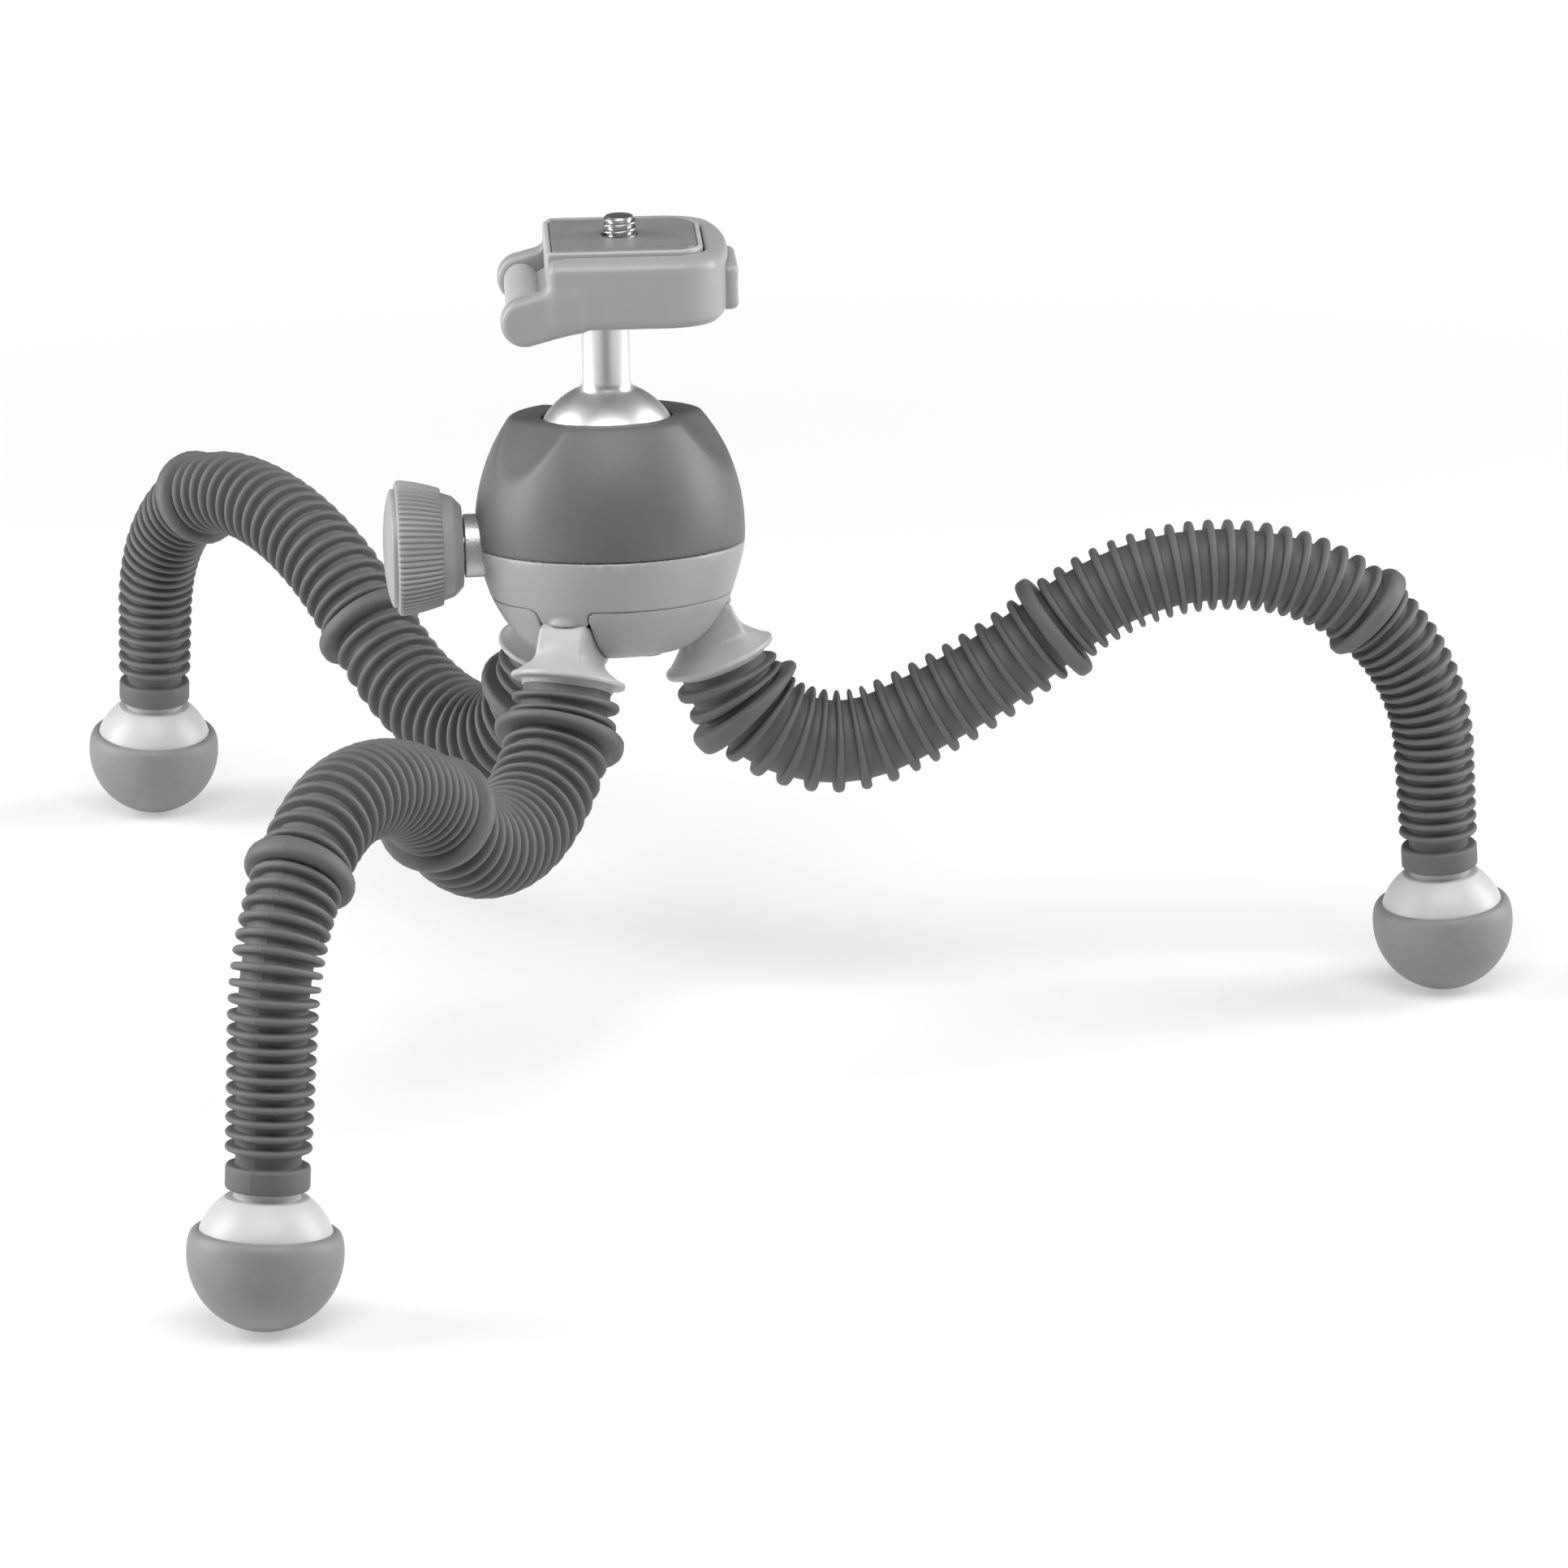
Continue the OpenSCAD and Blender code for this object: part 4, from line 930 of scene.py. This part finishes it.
THICK_AT = (11.8, 78.7, 143.8)
THICK_R = (12.3, 11, 9.8)
THICK_T = 3
THICK_ROUND = 1.1
RIB_FOOT = 0.28
THIN_COUNTS = (2, 16, 19, 20)
THIN_T = (1.6, 1.05)
RIB_R = (10.3, 7.4)
VALLEY_R = (8.3, 5.6)
THIN_ROOM = 1.5
COLLAR_R = 7.3
COLLAR_T = 4.3
BEND_SHARES = (0.089, 0.168, 0.247, 0.326, 0.469, 0.5835, 0.698, 0.818)


def along(hub_value, foot_value, distance):
    return hub_value + (foot_value - hub_value) * distance / LEG_LENGTH


def rib_radius(distance):
    return along(*RIB_R, distance)


def valley_radius(distance):
    return along(*VALLEY_R, distance)


def thin_thickness(distance):
    return along(*THIN_T, distance)


def leg_ribs():
    stops = (SPIGOT_H, *THICK_AT, LEG_LENGTH - COLLAR_T / 2)
    ribs = []
    for group, count in enumerate(THIN_COUNTS):
        first, last = stops[group], stops[group + 1]
        for at in np.linspace(first, last, count + 2)[1:-1]:
            if at < LEG_LENGTH - COLLAR_T - THIN_ROOM:
                ribs.append((at, rib_radius(at), thin_thickness(at)))
        if group < len(THICK_AT):
            ribs.append((last, THICK_R[group], THICK_T))
    return ribs


RIBS = leg_ribs()
VALLEYS = [(a[0] + (a[2] / 2 if a[2] == THICK_T else 0) + b[0] - (b[2] / 2 if b[2] == THICK_T else 0)) / 2
           for a, b in zip(RIBS, RIBS[1:])]


def nearest_valley(distance):
    return min(VALLEYS, key=lambda valley: abs(valley - distance))


HINGES = [nearest_valley(share * LEG_LENGTH) for share in BEND_SHARES]
BORDERS = [SPIGOT_H] + [nearest_valley((a + b) / 2) for a, b in zip(HINGES, HINGES[1:])] + [LEG_LENGTH]


def rib_profile(at, crest, thickness):
    """[distance, radius] over one rib: eased foot, straight side, rounded crest."""
    half = thickness / 2
    round_r = min(half, crest - valley_radius(at)) if thickness < THICK_T else THICK_ROUND
    foot = RIB_FOOT
    side = [(-half - foot, 0), (-half - foot * 0.25, foot * 0.35), (-half, foot)]
    arc = [(-half + round_r * (1 - math.cos(a)), round_r * (math.sin(a) - 1))
           for a in np.linspace(0.1, math.pi / 2, 4)]
    left = [(at + x, valley_radius(at + x) + y) for x, y in side] + [(at + x, crest + y) for x, y in arc]
    right = [(2 * at - s, r) for s, r in reversed(left)]
    return left + (right[1:] if half - round_r < 0.01 else right)


def sleeve_profile(low, high):
    """[distance, radius] of the sleeve's skin between two borders."""
    if low == SPIGOT_H:
        profile = [(low, 5.0), (low, SPIGOT_R - 0.45), (low + 0.2, SPIGOT_R - 0.25),
                   (low + 0.9, valley_radius(low))]
    else:
        profile = [(low, valley_radius(low))]
    for number, rib in enumerate(RIBS):
        if low < rib[0] < high:
            profile += rib_profile(*rib)
            if number < len(VALLEYS) and low < VALLEYS[number] < high:
                profile.append((VALLEYS[number], valley_radius(VALLEYS[number])))
    if high == LEG_LENGTH:
        collar = LEG_LENGTH - COLLAR_T
        root = valley_radius(collar)
        end = [(collar - 0.5, root), (collar, root, 0.1), (collar, COLLAR_R, 0.7),
               (LEG_LENGTH, COLLAR_R, 0.6), (LEG_LENGTH, 4.6)]
        profile += [tuple(point) for point in soften(end, 0.3)]
    else:
        profile.append((high, valley_radius(high)))
    return profile


PARTING_LIFT = 0.07


def sleeve_angles(columns=32, line=1.6):
    """Angles round a sleeve, with a narrow raised parting line on its upper and lower sides."""
    angles, lift = [], []
    for angle in np.arange(columns) * 360 / columns:
        if angle in (90, 270):
            angles += [angle + step * line for step in (-2, -1, 0, 1, 2)]
            lift += [0, 0, PARTING_LIFT, 0, 0]
        else:
            angles.append(angle)
            lift.append(0)
    return np.radians(angles), np.array(lift)


WIRE_R = 2.5
WIRE_SET = 7
BEND_INSET = 3.6


def bend_between(piece, path, leg, number, low, high):
    """Bakes a length of leg's placement into its mesh. It works out the body before its hinge and the points
    near the hinge's ends, but nothing uses them, so the length does not bend.
    """
    before = "hub" if number == 0 else f"{leg}_leg_{number + 1}"
    start, end = path.frame(low + BEND_INSET)[0], path.frame(high - BEND_INSET)[0]
    f"{leg}_leg_{number + 2}"
    start * MM
    end * MM
    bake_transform(piece)


def make_leg(leg):
    path = LegPath(leg)
    angles, lift = sleeve_angles()
    wire_angles = np.arange(12) * math.pi / 6
    for number, (low, high) in enumerate(zip(BORDERS, BORDERS[1:])):
        sleeve_rings = path.rings(sleeve_profile(low, high), angles, lift)
        sleeve = make(f"{leg}_ribbed_sleeve_{number + 1}", tube(sleeve_rings), "leg_rubber",
                      stands_for=[f"{leg}_sleeve_{number + 1}", f"{leg}_sleeve_{number + 2}"])
        bend_between(sleeve, path, leg, number, low, high)
        first = -WIRE_SET if number == 0 else low
        last = LEG_LENGTH + WIRE_SET if high == LEG_LENGTH else high
        stations = np.linspace(first, last, 2 + round((last - first) / 3))
        wire_rings = path.rings([(s, WIRE_R) for s in stations], wire_angles)
        wire = make(f"{leg}_bend_wire_{number + 1}", tube(wire_rings), "turned_aluminium",
                    stands_for=[f"{leg}_core_wire"])
        bend_between(wire, path, leg, number, low, high)
    make_foot(leg, path)


FOOT_RIM = 4.2
DOME_R = 12.2
LEDGE = 9.8
FOOT_NECK_R = 5.7
CORE_R = 8.8
SEAT_R = math.sqrt(DOME_R ** 2 - FOOT_RIM ** 2)


def make_foot(leg, path):
    centre, side, upper, forward = path.frame(LEG_LENGTH + FOOT_REACH)
    place = IN_MM @ Matrix.Translation(centre) @ Matrix((upper, side, -forward)).transposed().to_4x4()
    sole = [(FOOT_R * math.cos(a), FOOT_R * math.sin(a)) for a in np.linspace(-math.pi / 2, 0, 24)]
    rim = bow((FOOT_R, 0), (FOOT_R, FOOT_RIM + 0.1), (SEAT_R + 0.25, FOOT_RIM), 10)[1:]
    lip = [(SEAT_R + 0.1, FOOT_RIM - 0.15), (SEAT_R + 0.08, FOOT_RIM - 0.8), (CORE_R + 0.1, FOOT_RIM - 0.8)]
    body = f"{leg}_leg_9"
    make(f"{leg}_rubber_foot", lathe(sole + rim + lip, 80), "foot_rubber", place, body,
         [f"{leg}_foot_cup"], crease=60)
    dome = [(DOME_R * math.cos(a), DOME_R * math.sin(a))
            for a in np.linspace(math.asin((FOOT_RIM - 0.7) / DOME_R), math.asin(LEDGE / DOME_R), 16)]
    neck_end = FOOT_REACH + 0.1
    neck = [(FOOT_NECK_R, LEDGE), (FOOT_NECK_R, neck_end), (WIRE_R + 0.1, neck_end)]
    top = soften([dome[-2], dome[-1], *neck], 0.25)
    core = [(CORE_R, -5), (CORE_R, FOOT_RIM - 0.75)] + dome[:-2] + top
    # The foot domes take the lighter copy of the pale plastic, which is painted light on their upward faces.
    make(f"{leg}_foot_dome", lathe(core, 80), "pale_plastic", place, body, [f"{leg}_foot_core"], crease=60,
         look="pale_plastic_painted_lit")


for leg in SOCKETS:
    make_leg(leg)


# Pieces inside, which keep their solids

INNER_FINISHES = {
    "base_screw": "dark_steel", "hinge_pin": "steel", "screw_retainer": "dark_steel",
    "button_spring": "steel", "ball_cup": "pale_plastic", "cover_screws": "dark_steel",
    "shell_screws": "dark_steel", "lock_screw": "steel", "lock_wedge": "pale_plastic",
}
for node, slot in INNER_FINISHES.items():
    for place in nodes[node].material_slots:
        place.material = FINISHES[slot]


# Floor, light and camera

WHITE_NEAR = 0.4
WHITE_REACH = (0.3, 0.62)


def floor_material():
    """A pale floor that keeps the object's shadow, and shows as white further out."""
    material = bpy.data.materials.new("pale_floor")
    material.use_nodes = True
    tree = material.node_tree
    paint = Paint(tree)
    matt = paint.add("ShaderNodeBsdfDiffuse", None, {"Color": grey(0.86)})
    white = paint.add("ShaderNodeEmission", None, {"Color": grey(1.0), "Strength": 1.0})
    place = paint.add("ShaderNodeTexCoord", out="Object")
    distance = paint.add("ShaderNodeVectorMath", {"operation": "LENGTH"}, {0: place}, out="Value")
    share = WHITE_NEAR + (1 - WHITE_NEAR) * distance.between(*WHITE_REACH)
    both = paint.add("ShaderNodeMixShader", None, {0: seen_directly(paint) * share, 1: matt, 2: white})
    tree.links.new(both.socket, tree.nodes["Material Output"].inputs["Surface"])
    return material


def seen_directly(paint):
    """1 for rays from the camera, from reflections and through glass."""
    rays = [paint.add("ShaderNodeLightPath", out=kind)
            for kind in ("Is Camera Ray", "Is Glossy Ray", "Is Transmission Ray")]
    return rays[0].math("MAXIMUM", rays[0], rays[1].math("MAXIMUM", rays[1], rays[2]))


def flat_card(name, low, high, height, material):
    """A level rectangle that isn't part of the object."""
    data = bpy.data.meshes.new(name)
    data.from_pydata([(low[0], low[1], height), (high[0], low[1], height), (high[0], high[1], height),
                      (low[0], high[1], height)], [], [(0, 1, 2, 3)])
    data.materials.append(material)
    card = bpy.data.objects.new(name, data)
    scene.collection.objects.link(card)
    return card


FLOOR_HALF = 8
flat_card("floor", (-FLOOR_HALF, -FLOOR_HALF), (FLOOR_HALF, FLOOR_HALF), 0, floor_material())

# A dark card in front, seen only in reflections, draws the dark streak down the bright stem.
flag = flat_card("flag", (-0.2, -1.1), (0.06, -0.16), 0.003,
                 finish("flag_black", lambda paint: {"Roughness": 0.9 + 0.1 * paint.spots(9)},
                        Base_Color=grey(0.02)))
flag.visible_camera = flag.visible_diffuse = flag.visible_shadow = False

SKY = 0.12
world = bpy.data.worlds.new("studio")
scene.world = world
world.use_nodes = True
sky = world.node_tree.nodes["Background"]
sky.inputs["Color"].default_value = grey(1.0)
sky.inputs["Strength"].default_value = SKY


MIDDLE = (0, 0, 0.08)


def softbox(name, place, size, watts):
    """A large soft lamp that faces the middle of the object."""
    data = bpy.data.lights.new(name, "AREA")
    data.shape = "RECTANGLE"
    data.size, data.size_y = size
    data.energy = watts
    lamp = bpy.data.objects.new(name, data)
    lamp.location = place
    lamp.visible_camera = False
    lamp.rotation_euler = (Vector(MIDDLE) - Vector(place)).to_track_quat("-Z", "Y").to_euler()
    scene.collection.objects.link(lamp)


softbox("overhead", (0, -0.75, 1.35), size=(1.3, 0.8), watts=17)
softbox("left_side", (-1.3, 0.1, 0.6), size=(0.7, 1.2), watts=20)
softbox("right_side", (1.3, 0.1, 0.6), size=(0.7, 1.2), watts=18)

AZIMUTH, ELEVATION, ROLL = math.radians(-6.11), math.radians(18.06), math.radians(0.73)
CAMERA_DISTANCE = 1.29
CAMERA_AIM = Vector((BALL.x + 0.03163, BALL.y - 0.00886, 0.0464))
SENSOR = 36
FOCAL_PIXELS = 8340
PHOTO_PIXELS = 1932

level = Vector((math.cos(AZIMUTH), math.sin(AZIMUTH), 0))
towards = Vector((math.sin(AZIMUTH), -math.cos(AZIMUTH), 0))
back = towards * math.cos(ELEVATION) + Vector((0, 0, math.sin(ELEVATION)))
upright = back.cross(level)
rolled = Matrix((level * math.cos(ROLL) - upright * math.sin(ROLL),
                 level * math.sin(ROLL) + upright * math.cos(ROLL), back)).transposed()
camera_data = bpy.data.cameras.new("camera")
camera_data.sensor_width = SENSOR
camera_data.lens = FOCAL_PIXELS / PHOTO_PIXELS * SENSOR
camera = bpy.data.objects.new("camera", camera_data)
camera.matrix_world = Matrix.Translation(CAMERA_AIM + back * CAMERA_DISTANCE) @ rolled.to_4x4()
scene.collection.objects.link(camera)
scene.camera = camera
